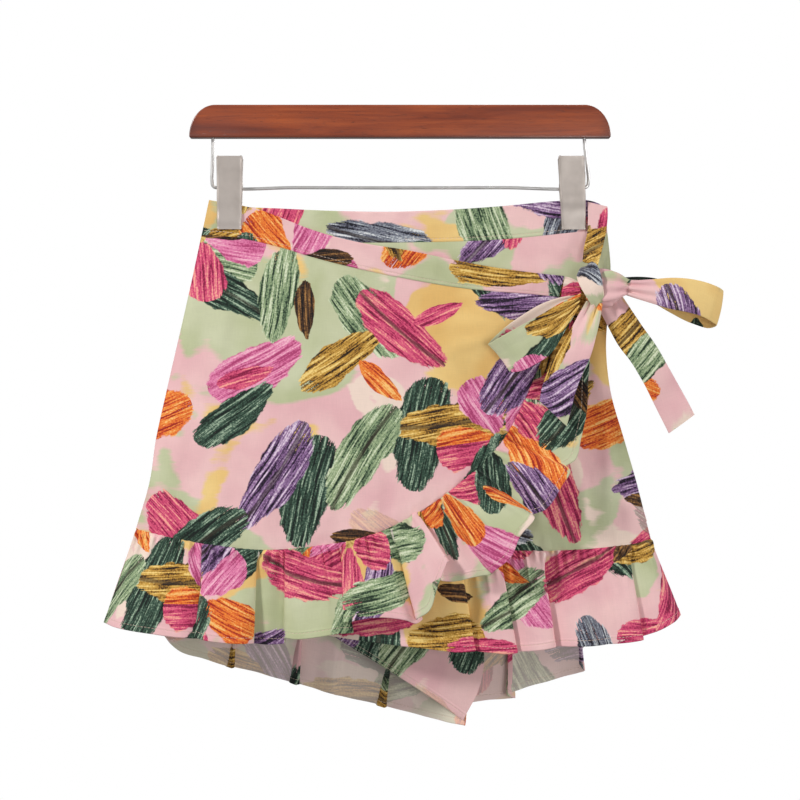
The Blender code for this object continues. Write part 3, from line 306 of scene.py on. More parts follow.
# ---- hanger ------------------------------------------------------------
BAR = {"half": 180.2, "flat": 158.0, "height": 28.0, "depth": 13.0, "edge": 1.8}
WIRE_D = 2.8
WIRE_Z = -70.3
WIRE_PATH = [  # x, z
    (-160.3, -21.0), (-160.4, -36.0), (-160.9, -55.0), (-161.1, -65.6),
    (-160.5, -68.6), (-158.9, -70.1), (-156.6, -70.4), (-90.0, -70.4),
    (0.0, -70.6), (90.0, -70.4), (156.9, -70.4), (159.2, -70.1),
    (160.8, -68.6), (161.4, -65.6), (160.8, -55.0), (158.4, -36.0),
    (158.0, -29.0), (158.0, -21.0),
]
CLIPS = {  # middle x at the top and at the jaw, cloth faces gripped
    "left": {"top_x": -145.4, "jaw_x": -145.9, "front": -5.0, "back": 2.3},
    "right": {"top_x": 146.2, "jaw_x": 149.0, "front": -2.3, "back": 2.3},
}
CLIP = {"top_z": -44.2, "jaw_z": -106.4, "width": 22.6, "jaw_width": 21.2,
        "sheet": 1.2, "spread": 10.5, "flange": 5.4, "flange_top": -60.0,
        "flange_low": -82.0, "bore": 2.5}


# ---- mathematics of the cloth ------------------------------------------
def flow(knots, values, at):
    """Smooth curve through rows of values at their knots, read at 'at'."""
    k = np.asarray(knots, float)
    p = np.asarray(values, float)
    if p.ndim == 1:
        p = p[:, None]
    h = np.diff(k)
    d = np.diff(p, axis=0) / h[:, None]
    m = np.empty_like(p)
    m[0], m[-1] = d[0], d[-1]
    if len(k) > 2:
        m[1:-1] = (d[:-1] * h[1:, None] + d[1:] * h[:-1, None]) / (h[:-1] + h[1:])[:, None]
    a = np.clip(np.asarray(at, float), k[0], k[-1])
    i = np.clip(np.searchsorted(k, a, side="right") - 1, 0, len(h) - 1)
    t = ((a - k[i]) / h[i])[..., None]
    hh = h[i][..., None]
    return ((2 * t**3 - 3 * t**2 + 1) * p[i] + (t**3 - 2 * t**2 + t) * hh * m[i]
            + (-2 * t**3 + 3 * t**2) * p[i + 1] + (t**3 - t**2) * hh * m[i + 1])


def along(rows, at):
    """Point of a row table's curve at a fraction of its length."""
    p = np.asarray(rows, float)
    k = np.concatenate([[0.0], np.cumsum(np.linalg.norm(np.diff(p[:, :2], axis=0), axis=1))])
    return flow(k / k[-1], p, at)


def table(rows, column, at):
    """Column of a table whose first column falls."""
    p = np.asarray(rows, float)
    return np.interp(-np.asarray(at, float), -p[:, 0], p[:, column])


def form_depth(x, z):
    """Half the depth of the hanging garment at a point of its outline."""
    left, right = table(OUTLINE, 1, z), table(OUTLINE, 2, z)
    xi = np.clip((2 * x - left - right) / (right - left), -1.0, 1.0)
    full = table(FORM, 1, z) * (1 - np.abs(xi) ** 3)
    a = np.clip((x - WAIST_LEFT) / (WAIST_RIGHT - WAIST_LEFT), 0.0, 1.0)
    fade = np.clip((z + 190.0) / 80.0, 0.0, 1.0)
    fade = fade * fade * (3 - 2 * fade)
    return full + WAIST_BULGE * np.sin(np.pi * a) ** 2 * fade


def patch(top, bottom, left, right, u, v):
    """Patch between four edges, each a table of x, z, extra."""
    u, v = np.meshgrid(u, v, indexing="ij")
    a, b = along(top, u), along(bottom, u)
    c, d = along(left, v), along(right, v)
    uu, vv = u[..., None], v[..., None]
    p00, p10 = np.asarray(top[0], float), np.asarray(top[-1], float)
    p01, p11 = np.asarray(bottom[0], float), np.asarray(bottom[-1], float)
    corners = ((1 - uu) * (1 - vv) * p00 + uu * (1 - vv) * p10
               + (1 - uu) * vv * p01 + uu * vv * p11)
    q = (1 - vv) * a + vv * b + (1 - uu) * c + uu * d - corners
    return q[..., 0], q[..., 1], q[..., 2]


def straight(a, b):
    return [tuple(a), tuple((np.asarray(a) + np.asarray(b)) / 2), tuple(b)]


def shifted(rows, dx=0.0, dz=0.0):
    return [(r[0] + dx, r[1] + dz) + tuple(r[2:]) for r in rows]


def panel_points(layer, edges, u, v, side=-1.0, share=1.0, low=None, high=None):
    """Middle of a panel's wall: the patch laid on the shared form."""
    x, z, extra = patch(*edges, u, v)
    extra = np.clip(extra, low, high) if low is not None or high is not None else extra
    if not isinstance(share, float):
        share = table(share, 1, z)
    y = side * share * form_depth(x, z) + LAYER[layer] + extra
    return np.stack([x, y, z], axis=-1)


def hem_curve(hem):
    """Knots of a pleat table by the length of its hem, and its points x, y, z."""
    rows = np.asarray(hem, float)
    pts = rows[:, [1, 3, 2]]
    k = np.concatenate([[0.0], np.cumsum(np.linalg.norm(np.diff(pts, axis=0), axis=1))])
    return k / k[-1], rows[:, 0], pts


def hem_mean(hem, width=0.035):
    """The hem with its pleats smoothed away: places at the seam, and points."""
    k, at, pts = hem_curve(hem)
    dense = np.linspace(0, 1, 601)
    p = flow(k, pts, dense)
    a = np.interp(dense, k, at)
    weight = np.gradient(a).clip(1e-6)
    mean = np.empty_like(p)
    for i in range(len(dense)):
        # a straight line through the neighbours keeps the ends true
        da = a - a[i]
        w = np.exp(-0.5 * (da / width) ** 2) * weight
        s0, s1, s2 = w.sum(), (w * da).sum(), (w * da * da).sum()
        mean[i] = (w * (s2 - s1 * da)) / (s0 * s2 - s1 * s1) @ p
    return a, mean


def opened(hem, least=1.5, slope_room=0.45):
    """A pleat table whose turns never fold back over each other."""
    a, mean = hem_mean(hem)
    _, at, pts = hem_curve(hem)
    run = np.concatenate([[0.0], np.cumsum(np.linalg.norm(np.diff(mean[:, [0, 2]], axis=0), axis=1))])
    slope = np.gradient(mean, axis=0)
    slope[:, 1] = 0.0
    slope /= np.linalg.norm(slope, axis=1)[:, None]
    rows, last, depth = [], -1e9, 0.0
    for place, point in zip(at, pts):
        m = np.array([np.interp(place, a, mean[:, c]) for c in range(3)])
        d = np.array([np.interp(place, a, slope[:, c]) for c in range(3)])
        here = float(np.interp(place, a, run))
        ahead = float((point - m) @ d)
        moved = max(here + ahead, last + least + slope_room * abs(point[1] - depth))
        last, depth = moved, point[1]
        q = point + d * (moved - here - ahead)
        rows.append((place, q[0], q[2], q[1]))
    return rows


def strip_points(seam, hem, s, t, drop=1.0, fold=1.0):
    """Middle of a ruffle's wall: from its seam to its pleated hem.

    seam gives the sewn edge's points at a fraction of its length, hem is the
    pleat table, s runs along the hem and t down from the seam.
    """
    k, at, pts = hem_curve(hem)
    a, mean = hem_mean(hem)
    hem_s = flow(k, pts, s)
    at_s = np.interp(s, k, at)
    mean_s = np.stack([np.interp(at_s, a, mean[:, c]) for c in range(3)], axis=-1)
    top = seam(at_s)
    fall = mean_s - top
    fall /= np.linalg.norm(fall, axis=1)[:, None]
    top = top + fall * drop
    tt = np.asarray(t, float)[None, :, None]
    return (top[:, None] + (mean_s - top)[:, None] * tt
            + (hem_s - mean_s)[:, None] * tt ** fold)


def ribbon_points(rows, s, t):
    """Middle of a tie's wall: sections along its run."""
    p = np.asarray(rows, float)
    k = np.concatenate([[0.0], np.cumsum(np.linalg.norm(np.diff(p[:, :3], axis=0), axis=1))])
    q = flow(k / k[-1], p, s)
    lean, swing = np.radians(q[:, 4]), np.radians(q[:, 5])
    w = np.stack([np.sin(lean) * np.cos(swing), -np.sin(swing), np.cos(lean) * np.cos(swing)], axis=-1)
    c = q[:, [0, 2, 1]]
    off = (np.asarray(t) - 0.5)[None, :, None] * (q[:, 3][:, None] * w)[:, None]
    return c[:, None] + off


# ---- cloth meshes ------------------------------------------------------
def ease(x):
    x = np.clip(x, 0.0, 1.0)
    return x * x * (3 - 2 * x)


def rows_between(length, step, top=(), bottom=()):
    """Places from 0 to 1 along a length, closer together where an edge is worked."""
    extra = sorted(set(list(top) + [length - d for d in bottom]))
    body = [x for x in np.linspace(0, length, max(3, int(round(length / step)) + 1))]
    keep = [x for x in body if x in (0.0, length) or all(abs(x - e) > 0.45 * step for e in extra)]
    keep = [x for x in keep if not (x == 0.0 and 0.0 in extra) and not (x == length and length in extra)]
    return np.array(sorted(set(keep) | set(extra))) / length


HEM_ROWS = (0.0, 0.25, 0.7, 1.4, 3.0, 4.2, 4.7, 5.0, 5.3, 5.8, 6.3, 6.9, 7.8)


def hem_thickness(d, groove=5.0, plies=0.75):
    """Thickness of a turned hem at a distance from its edge."""
    t = PLY + plies * (1 - ease((d - HEM - 0.1) / 1.1))
    t = t - 0.5 * np.exp(-((d - groove) / 0.42) ** 2)
    return t * (0.35 + 0.65 * np.sqrt(1 - (1 - np.clip(d / 0.7, 0, 1)) ** 2))


def band_thickness(d_top, d_low, groove=3.0):
    """Thickness of a folded band at distances from its two edges."""
    t = BAND_THICK * np.sqrt(np.clip(1 - (1 - np.clip(d_top / 1.2, 0.03, 1)) ** 2, 0, 1))
    t = np.minimum(t, BAND_THICK * np.sqrt(np.clip(1 - (1 - np.clip(d_low / 0.9, 0.12, 1)) ** 2, 0, 1)))
    return t - 0.45 * np.exp(-((d_low - groove) / 0.42) ** 2)


def normals_of(mid):
    n = np.cross(np.gradient(mid, axis=0), np.gradient(mid, axis=1))
    return n / np.maximum(np.linalg.norm(n, axis=-1), 1e-9)[..., None]


PIECES = {}


def shell(name, mid, thick, cut, right, mats):
    """Closed thin wall about a grid of middle points, mm.

    cut gives each point's place on the flat cloth, mm.  right is +1 where the
    cloth's right side is on the side of the grid's normal, -1 where it is on
    the other side, 0 where both sides are right sides.
    """
    n = normals_of(mid)
    thick = np.broadcast_to(np.asarray(thick, float), mid.shape[:2])[..., None]
    plus, minus = mid + n * thick / 2, mid - n * thick / 2
    nu, nv = mid.shape[:2]
    half = nu * nv
    verts = np.concatenate([plus.reshape(-1, 3), minus.reshape(-1, 3)]) * MM
    i, j = np.meshgrid(np.arange(nu - 1), np.arange(nv - 1), indexing="ij")
    a = (i * nv + j).ravel()
    quad = np.stack([a, a + nv, a + nv + 1, a + 1], axis=1)
    other = quad[:, ::-1] + half
    ring = np.concatenate([np.arange(nu - 1) * nv, (nu - 1) * nv + np.arange(nv - 1),
                           np.arange(nu - 1, 0, -1) * nv + nv - 1, np.arange(nv - 1, 0, -1)])
    nxt = np.roll(ring, -1)
    rim = np.stack([nxt, ring, ring + half, nxt + half], axis=1)
    faces = np.concatenate([quad, other, rim])
    mesh = bpy.data.meshes.new(name)
    mesh.vertices.add(len(verts))
    mesh.vertices.foreach_set("co", verts.ravel())
    mesh.loops.add(faces.size)
    mesh.loops.foreach_set("vertex_index", faces.ravel())
    mesh.polygons.add(len(faces))
    mesh.polygons.foreach_set("loop_start", np.arange(0, faces.size, 4))
    if right != 0 and len(mats) > 1:
        slots = np.zeros(len(faces), int)
        wrong = slice(len(quad), 2 * len(quad)) if right > 0 else slice(0, len(quad))
        slots[wrong] = 1
        mesh.polygons.foreach_set("material_index", slots)
    for mat in mats if right != 0 else mats[:1]:
        mesh.materials.append(mat)
    mesh.update(calc_edges=True)
    flat = np.concatenate([cut.reshape(-1, 2), cut.reshape(-1, 2)]) / TILE
    layer = mesh.uv_layers.new(name="cut")
    layer.data.foreach_set("uv", flat[faces.ravel()].ravel())
    mesh.validate()
    mesh.shade_smooth()
    mesh.set_sharp_from_angle(angle=math.radians(58))
    ob = bpy.data.objects.new(name, mesh)
    bpy.context.scene.collection.objects.link(ob)
    PIECES[name] = {"ob": ob, "mid": mid, "plus": plus, "minus": minus, "n": n}
    return ob


def placed(cut, origin, turn):
    """Flat places moved and turned on the printed cloth, as the piece was cut from it."""
    c, s = math.cos(math.radians(turn)), math.sin(math.radians(turn))
    out = np.empty(cut.shape)
    out[..., 0] = origin[0] + c * cut[..., 0] - s * cut[..., 1]
    out[..., 1] = origin[1] + s * cut[..., 0] + c * cut[..., 1]
    return out


def stitches(name, line, out, mat, length=2.4, gap=0.8, radius=0.18, lift=0.08):
    """A row of machine stitches along a line of points, mm, on the side that out points to."""
    line, out = np.asarray(line, float), np.asarray(out, float)
    run = np.concatenate([[0.0], np.cumsum(np.linalg.norm(np.diff(line, axis=0), axis=1))])
    count = int(run[-1] // (length + gap))
    if count < 1:
        return None
    starts = (run[-1] - count * (length + gap)) / 2 + np.arange(count) * (length + gap)
    turns, sides = ((0.0, 0.35, -0.16), (0.16, 1.0, 0.7), (0.5, 1.0, 1.0), (0.84, 1.0, 0.7), (1.0, 0.35, -0.16)), 6

    def at(d, rows):
        return np.stack([np.interp(d, run, rows[:, c]) for c in range(3)], axis=-1)

    verts, faces, used = [], [], 0
    for s in starts:
        rings = []
        for f, wide, high in turns:
            p = at(s + f * length, line)
            q = at(min(s + f * length + 0.05, run[-1]), line) - at(max(s + f * length - 0.05, 0.0), line)
            t = q / max(np.linalg.norm(q), 1e-9)
            n = at(s + f * length, out)
            n = n - t * (n @ t)
            n /= max(np.linalg.norm(n), 1e-9)
            b = np.cross(t, n)
            c = p + n * (lift * high)
            rings.append([c + radius * wide * (b * math.cos(2 * math.pi * k / sides)
                                               + 0.8 * n * math.sin(2 * math.pi * k / sides))
                          for k in range(sides)])
        for ring in rings:
            verts += ring
        for r in range(len(turns) - 1):
            for k in range(sides):
                k2 = (k + 1) % sides
                faces.append((used + r * sides + k, used + r * sides + k2,
                              used + (r + 1) * sides + k2, used + (r + 1) * sides + k))
        faces.append(tuple(used + k for k in range(sides - 1, -1, -1)))
        faces.append(tuple(used + (len(turns) - 1) * sides + k for k in range(sides)))
        used += len(turns) * sides
    mesh = bpy.data.meshes.new(name)
    mesh.from_pydata([tuple(v * MM) for v in verts], [], faces)
    mesh.update()
    mesh.shade_smooth()
    mesh.materials.append(mat)
    ob = bpy.data.objects.new(name, mesh)
    bpy.context.scene.collection.objects.link(ob)
    return ob


# ---- materials ---------------------------------------------------------
def linear(rgb):
    return tuple(x / 12.92 if x <= 0.04045 else ((x + 0.055) / 1.055) ** 2.4 for x in rgb) + (1.0,)


class Nodes:
    """Short hand for building a node tree."""

    def __init__(self, tree):
        self.tree = tree

    def new(self, kind, **props):
        node = self.tree.nodes.new(kind)
        for key, value in props.items():
            setattr(node, key, value)
        return node

    def put(self, socket, value):
        if isinstance(value, bpy.types.NodeSocket):
            self.tree.links.new(value, socket)
        else:
            socket.default_value = value

    def maths(self, op, a, b=None, c=None, clamp=False):
        node = self.new("ShaderNodeMath", operation=op, use_clamp=clamp)
        for k, value in enumerate((a, b, c)):
            if value is not None:
                self.put(node.inputs[k], value)
        return node.outputs[0]

    def ramp(self, value, low, high, to_low=0.0, to_high=1.0, smooth=False):
        node = self.new("ShaderNodeMapRange", clamp=True,
                        interpolation_type="SMOOTHSTEP" if smooth else "LINEAR")
        self.put(node.inputs[0], value)
        for k, x in enumerate((low, high, to_low, to_high)):
            node.inputs[k + 1].default_value = x
        return node.outputs[0]

    def noise(self, vector, scale, detail=2.0, rough=0.5, distort=0.0, dims="2D"):
        node = self.new("ShaderNodeTexNoise", noise_dimensions=dims)
        self.put(node.inputs["Vector"], vector)
        node.inputs["Scale"].default_value = scale
        node.inputs["Detail"].default_value = detail
        node.inputs["Roughness"].default_value = rough
        node.inputs["Distortion"].default_value = distort
        return node.outputs[0]

    def turned(self, vector, angle=0.0, scale=(1.0, 1.0, 1.0), centre=(0.0, 0.0, 0.0), kind="POINT"):
        node = self.new("ShaderNodeMapping", vector_type=kind)
        self.put(node.inputs["Vector"], vector)
        node.inputs["Location"].default_value = centre
        node.inputs["Rotation"].default_value = (0.0, 0.0, angle)
        node.inputs["Scale"].default_value = scale
        return node.outputs[0]

    def mix(self, factor, a, b, blend="MIX"):
        node = self.new("ShaderNodeMix", data_type="RGBA", blend_type=blend)
        self.put(node.inputs[0], factor)
        self.put(node.inputs[6], a)
        self.put(node.inputs[7], b)
        return node.outputs[2]

    def colours(self, value, stops, ease_out="LINEAR"):
        node = self.new("ShaderNodeValToRGB")
        band = node.color_ramp
        band.interpolation = ease_out
        while len(band.elements) < len(stops):
            band.elements.new(0.5)
        for element, (place, rgb) in zip(band.elements, stops):
            element.position = place
            element.color = linear(rgb)
        self.put(node.inputs[0], value)
        return node.outputs[0]


# The paints of the print: a brush mark's darkest streak, its two body
# shades and its lightest streak.
PAINTS = {
    "mustard": ((0.15, 0.10, 0.06), (0.58, 0.41, 0.15), (0.79, 0.61, 0.27), (0.93, 0.81, 0.50)),
    "forest": ((0.06, 0.09, 0.08), (0.12, 0.19, 0.15), (0.24, 0.34, 0.28), (0.64, 0.72, 0.62)),
    "fern": ((0.13, 0.19, 0.14), (0.38, 0.47, 0.35), (0.60, 0.67, 0.51), (0.83, 0.86, 0.74)),
    "plum": ((0.09, 0.06, 0.11), (0.33, 0.22, 0.37), (0.57, 0.43, 0.60), (0.87, 0.79, 0.86)),
    "slate": ((0.09, 0.09, 0.12), (0.31, 0.31, 0.37), (0.52, 0.54, 0.58), (0.85, 0.86, 0.86)),
    "raspberry": ((0.50, 0.10, 0.24), (0.75, 0.22, 0.39), (0.85, 0.35, 0.48), (0.95, 0.66, 0.58)),
    "rose": ((0.66, 0.24, 0.42), (0.80, 0.38, 0.56), (0.87, 0.51, 0.66), (0.94, 0.72, 0.78)),
    "orange": ((0.60, 0.15, 0.10), (0.84, 0.33, 0.15), (0.91, 0.52, 0.20), (0.96, 0.76, 0.46)),
    "bark": ((0.07, 0.05, 0.05), (0.19, 0.13, 0.10), (0.36, 0.24, 0.14), (0.66, 0.48, 0.27)),
    "sand": ((0.62, 0.60, 0.47), (0.74, 0.73, 0.58), (0.80, 0.79, 0.66), (0.86, 0.85, 0.74)),
}

# Layers of the print from the lowest up.  A layer is a turned grid with one
# mark in each cell: turn in degrees, cell, half length and half width in mm,
# how blunt, tapered, bent and dry the marks are, the share of the marks with
# a rib along the middle, the share of the cells in use, and the paints.
LAYERS = (
    (23, 108.0, 50.0, 25.0, 0.42, 0.15, 0.12, 0.50, 0.00, 0.98,
     ("fern", "rose", "mustard", "forest", "fern", "mustard", "orange", "raspberry")),
    (61, 115.0, 54.0, 21.5, 0.56, 0.22, -0.18, 0.70, 0.65, 0.96,
     ("mustard", "plum", "forest", "mustard", "slate", "fern", "plum", "mustard")),
    (-17, 110.0, 52.0, 22.0, 0.50, 0.18, 0.16, 0.65, 0.35, 0.94,
     ("forest", "raspberry", "plum", "slate", "forest", "mustard", "raspberry", "fern")),
    (41, 98.0, 28.0, 10.5, 0.70, 0.20, 0.14, 0.35, 0.00, 0.60,
     ("bark", "mustard", "orange", "bark", "sand", "raspberry", "forest")),
)
FLOWERS = (8, 196.0, 5, ("raspberry", "rose", "raspberry", "orange", "raspberry", "rose", "orange"))


def paint(n, pick, streak, names):
    """The colour of a mark: its paint by the number picked, its shade by the streak."""
    ramps = []
    for level in range(4):
        stops = [(i / len(names), PAINTS[name][level]) for i, name in enumerate(names)]
        ramps.append(n.colours(pick, stops, "CONSTANT"))
    colour = n.mix(n.ramp(streak, 0.20, 0.38), ramps[0], ramps[1])
    colour = n.mix(n.ramp(streak, 0.36, 0.60), colour, ramps[2])
    return n.mix(n.ramp(streak, 0.66, 0.88), colour, ramps[3])


def cell_of(n, x, y, turn, cell, seed):
    """A turned grid: place in the cell in mm from its middle, and two triples of random numbers."""
    c, s = math.cos(math.radians(turn)) / cell, math.sin(math.radians(turn)) / cell
    gx = n.maths("MULTIPLY_ADD", x, c, n.maths("MULTIPLY_ADD", y, s, seed * 3.37))
    gy = n.maths("MULTIPLY_ADD", x, -s, n.maths("MULTIPLY_ADD", y, c, seed * 5.91))
    ix, iy = n.maths("FLOOR", gx), n.maths("FLOOR", gy)
    picks = []
    for k in range(2):
        joined = n.new("ShaderNodeCombineXYZ")
        n.put(joined.inputs[0], ix)
        n.put(joined.inputs[1], iy)
        joined.inputs[2].default_value = seed + 17.0 * k
        white = n.new("ShaderNodeTexWhiteNoise", noise_dimensions="3D")
        n.put(white.inputs["Vector"], joined.outputs[0])
        parts = n.new("ShaderNodeSeparateColor")
        n.put(parts.inputs[0], white.outputs["Color"])
        picks.append(parts.outputs)
    fx = n.maths("SUBTRACT", n.maths("SUBTRACT", gx, ix), 0.5)
    fy = n.maths("SUBTRACT", n.maths("SUBTRACT", gy, iy), 0.5)
    return fx, fy, picks


def brushed(n, a, b, streak, ragged, blunt, taper, bend, dry):
    """Where the paint of a mark lies: a along it and b across it, each from -1 to 1."""
    a2 = n.maths("MULTIPLY", a, a)
    profile = n.maths("POWER", n.maths("SUBTRACT", 1.0, a2, clamp=True), blunt)
    half = n.maths("MULTIPLY", profile, n.maths("MULTIPLY_ADD", a, taper, 1.0 - 0.3 * taper))
    off = n.maths("ABSOLUTE", n.maths("MULTIPLY_ADD", a2, bend, b))
    inside = n.maths("MULTIPLY_ADD", ragged, 0.40, n.maths("SUBTRACT", half, off))
    inside = n.maths("MULTIPLY_ADD", n.maths("MINIMUM", a2, 0.9), n.maths("MULTIPLY_ADD", streak, 0.34, -0.17), inside)
    inside = n.maths("SUBTRACT", inside, n.ramp(a2, 0.95, 1.5, 0.0, 0.6))
    mask = n.ramp(inside, 0.04, 0.085)
    worn = n.maths("MULTIPLY_ADD", a, -0.85 * dry, n.maths("ADD", streak, 0.62))
    return n.maths("MULTIPLY", mask, n.ramp(worn, 0.26, 0.34)), off


def print_group():
    """The printed design, read at a place on the flat cloth (1 is TILE millimetres)."""
    group = bpy.data.node_groups.new("printed_cloth", "ShaderNodeTree")
    face = group.interface
    face.new_socket("Vector", in_out="INPUT", socket_type="NodeSocketVector")
    face.new_socket("Color", in_out="OUTPUT", socket_type="NodeSocketColor")
    n = Nodes(group)
    place = n.new("NodeGroupInput").outputs[0]
    # ground: washes that meet along loose brushed edges
    wash = n.noise(place, 2.3, 3.0, 0.42, 0.35)
    wash2 = n.noise(n.turned(place, 0.7, centre=(3.7, 1.9, 0)), 2.9, 3.0, 0.45, 0.3)
    grain = n.noise(n.turned(place, 1.2, scale=(9.0, 46.0, 1.0)), 1.0, 3.0, 0.6, 0.2)
    cloud = n.noise(place, 7.0, 2.0, 0.5, 0.2)
    pink = n.mix(n.ramp(cloud, 0.3, 0.7), linear((0.92, 0.76, 0.75)), linear((0.88, 0.69, 0.70)))
    sage = n.mix(n.ramp(cloud, 0.3, 0.7), linear((0.78, 0.79, 0.66)), linear((0.71, 0.73, 0.57)))
    butter = n.mix(n.ramp(cloud, 0.3, 0.7), linear((0.92, 0.79, 0.52)), linear((0.87, 0.70, 0.42)))
    edge = n.maths("MULTIPLY_ADD", grain, 0.05, wash)
    colour = n.mix(n.ramp(edge, 0.532, 0.552), pink, sage)
    edge2 = n.maths("MULTIPLY_ADD", grain, 0.06, wash2)
    colour = n.mix(n.ramp(edge2, 0.640, 0.665), colour, butter)
    colour = n.mix(n.ramp(n.maths("SUBTRACT", 1.0, edge2), 0.62, 0.64), colour, linear((0.92, 0.83, 0.77)))
    ragged = n.maths("SUBTRACT", n.noise(place, 21.0, 3.0, 0.55), 0.5)
    speck = n.maths("MULTIPLY_ADD", n.noise(place, 190.0, 2.0, 0.7), 0.34, -0.17)
    split = n.new("ShaderNodeSeparateXYZ")
    n.put(split.inputs[0], place)
    x, y = n.maths("MULTIPLY", split.outputs[0], TILE), n.maths("MULTIPLY", split.outputs[1], TILE)

    def fine(a, b, start):
        joined = n.new("ShaderNodeCombineXYZ")
        n.put(joined.inputs[0], n.maths("MULTIPLY_ADD", a, 1 / 46.0, start))
        sway = n.maths("SINE", n.maths("MULTIPLY_ADD", a, 0.07, start))
        n.put(joined.inputs[1], n.maths("MULTIPLY_ADD", b, 1 / 2.7, n.maths("MULTIPLY", sway, 0.30)))
        return n.ramp(n.maths("ADD", n.noise(joined.outputs[0], 1.0, 3.0, 0.66), speck), 0.28, 0.72)

    def flowers(colour):
        turn, cell, petals, names = FLOWERS
        fx, fy, (one, two) = cell_of(n, x, y, turn, cell, 3.0)
        lx = n.maths("MULTIPLY", n.maths("MULTIPLY_ADD", one[0], -0.34, n.maths("ADD", fx, 0.17)), cell)
        ly = n.maths("MULTIPLY", n.maths("MULTIPLY_ADD", one[1], -0.34, n.maths("ADD", fy, 0.17)), cell)
        round_ = n.maths("ADD", n.maths("ARCTAN2", ly, lx), n.maths("MULTIPLY", one[2], 6.28))
        sector = n.maths("MULTIPLY", round_, petals / (2 * math.pi))
        which = n.maths("FLOOR", sector)
        theta = n.maths("MULTIPLY", n.maths("SUBTRACT", n.maths("SUBTRACT", sector, which), 0.5), 2 * math.pi / petals)
        away = n.maths("SQRT", n.maths("ADD", n.maths("MULTIPLY", lx, lx), n.maths("MULTIPLY", ly, ly)))
        along_ = n.maths("MULTIPLY", away, n.maths("COSINE", theta))
        side = n.maths("MULTIPLY", away, n.maths("SINE", theta))
        seed = n.maths("MULTIPLY_ADD", which, 0.371, two[0])
        pick = n.maths("FRACT", n.maths("ADD", seed, 9.0))
        streak = fine(along_, side, n.maths("MULTIPLY", pick, 40.0))
        a = n.maths("MULTIPLY_ADD", along_, 1 / 27.0, -1.14)
        b = n.maths("MULTIPLY", side, 1 / 20.5)
        mask, _ = brushed(n, a, b, streak, ragged, 0.48, 0.42, 0.0, 0.45)
        mask = n.maths("MULTIPLY", mask, n.ramp(two[1], 0.74, 0.75, 1.0, 0.0))
        colour = n.mix(mask, colour, paint(n, pick, streak, names))
        heart = n.ramp(n.maths("MULTIPLY_ADD", ragged, 6.0, away), 5.4, 6.2, 1.0, 0.0)
        heart = n.maths("MULTIPLY", heart, n.ramp(two[1], 0.74, 0.75, 1.0, 0.0))
        return n.mix(heart, colour, n.mix(streak, linear(PAINTS["mustard"][1]), linear(PAINTS["mustard"][3])))

    for k, (turn, cell, length, width, blunt, taper, bend, dry, ribbed, used, names) in enumerate(LAYERS):
        if k == 2:
            colour = flowers(colour)
        fx, fy, (one, two) = cell_of(n, x, y, turn, cell, 11.0 + 7.0 * k)
        room = 0.5 - length / cell
        lx = n.maths("MULTIPLY", n.maths("MULTIPLY_ADD", one[0], -2 * room, n.maths("ADD", fx, room)), cell)
        ly = n.maths("MULTIPLY", n.maths("MULTIPLY_ADD", one[1], -2 * room, n.maths("ADD", fy, room)), cell)
        angle = n.maths("MULTIPLY_ADD", one[2], 4.4, math.radians(20 - turn) - 0.6)
        c, s = n.maths("COSINE", angle), n.maths("SINE", angle)
        run = n.maths("ADD", n.maths("MULTIPLY", lx, c), n.maths("MULTIPLY", ly, s))
        off = n.maths("SUBTRACT", n.maths("MULTIPLY", ly, c), n.maths("MULTIPLY", lx, s))
        streak = fine(run, off, n.maths("MULTIPLY", two[2], 50.0))
        size = n.maths("MULTIPLY_ADD", two[0], 0.30, 0.98)
        a = n.maths("MULTIPLY", run, n.maths("MULTIPLY", size, 1 / length))
        b = n.maths("MULTIPLY", off, n.maths("MULTIPLY", size, 1 / width))
        mask, across = brushed(n, a, b, streak, ragged, blunt, taper, bend, dry)
        mask = n.maths("MULTIPLY", mask, n.ramp(two[1], used, used + 0.01, 1.0, 0.0))
        colour = n.mix(mask, colour, paint(n, two[2], streak, names))
        if ribbed:
            rib = n.ramp(n.maths("MULTIPLY_ADD", ragged, 0.10, across), 0.05, 0.11, 1.0, 0.0)
            rib = n.maths("MULTIPLY", n.maths("MULTIPLY", rib, mask), n.ramp(two[0], ribbed, ribbed + 0.01, 0.7, 0.0))
            colour = n.mix(rib, colour, linear((0.20, 0.16, 0.13)))
    out = n.new("NodeGroupOutput")
    n.put(out.inputs[0], colour)
    return group


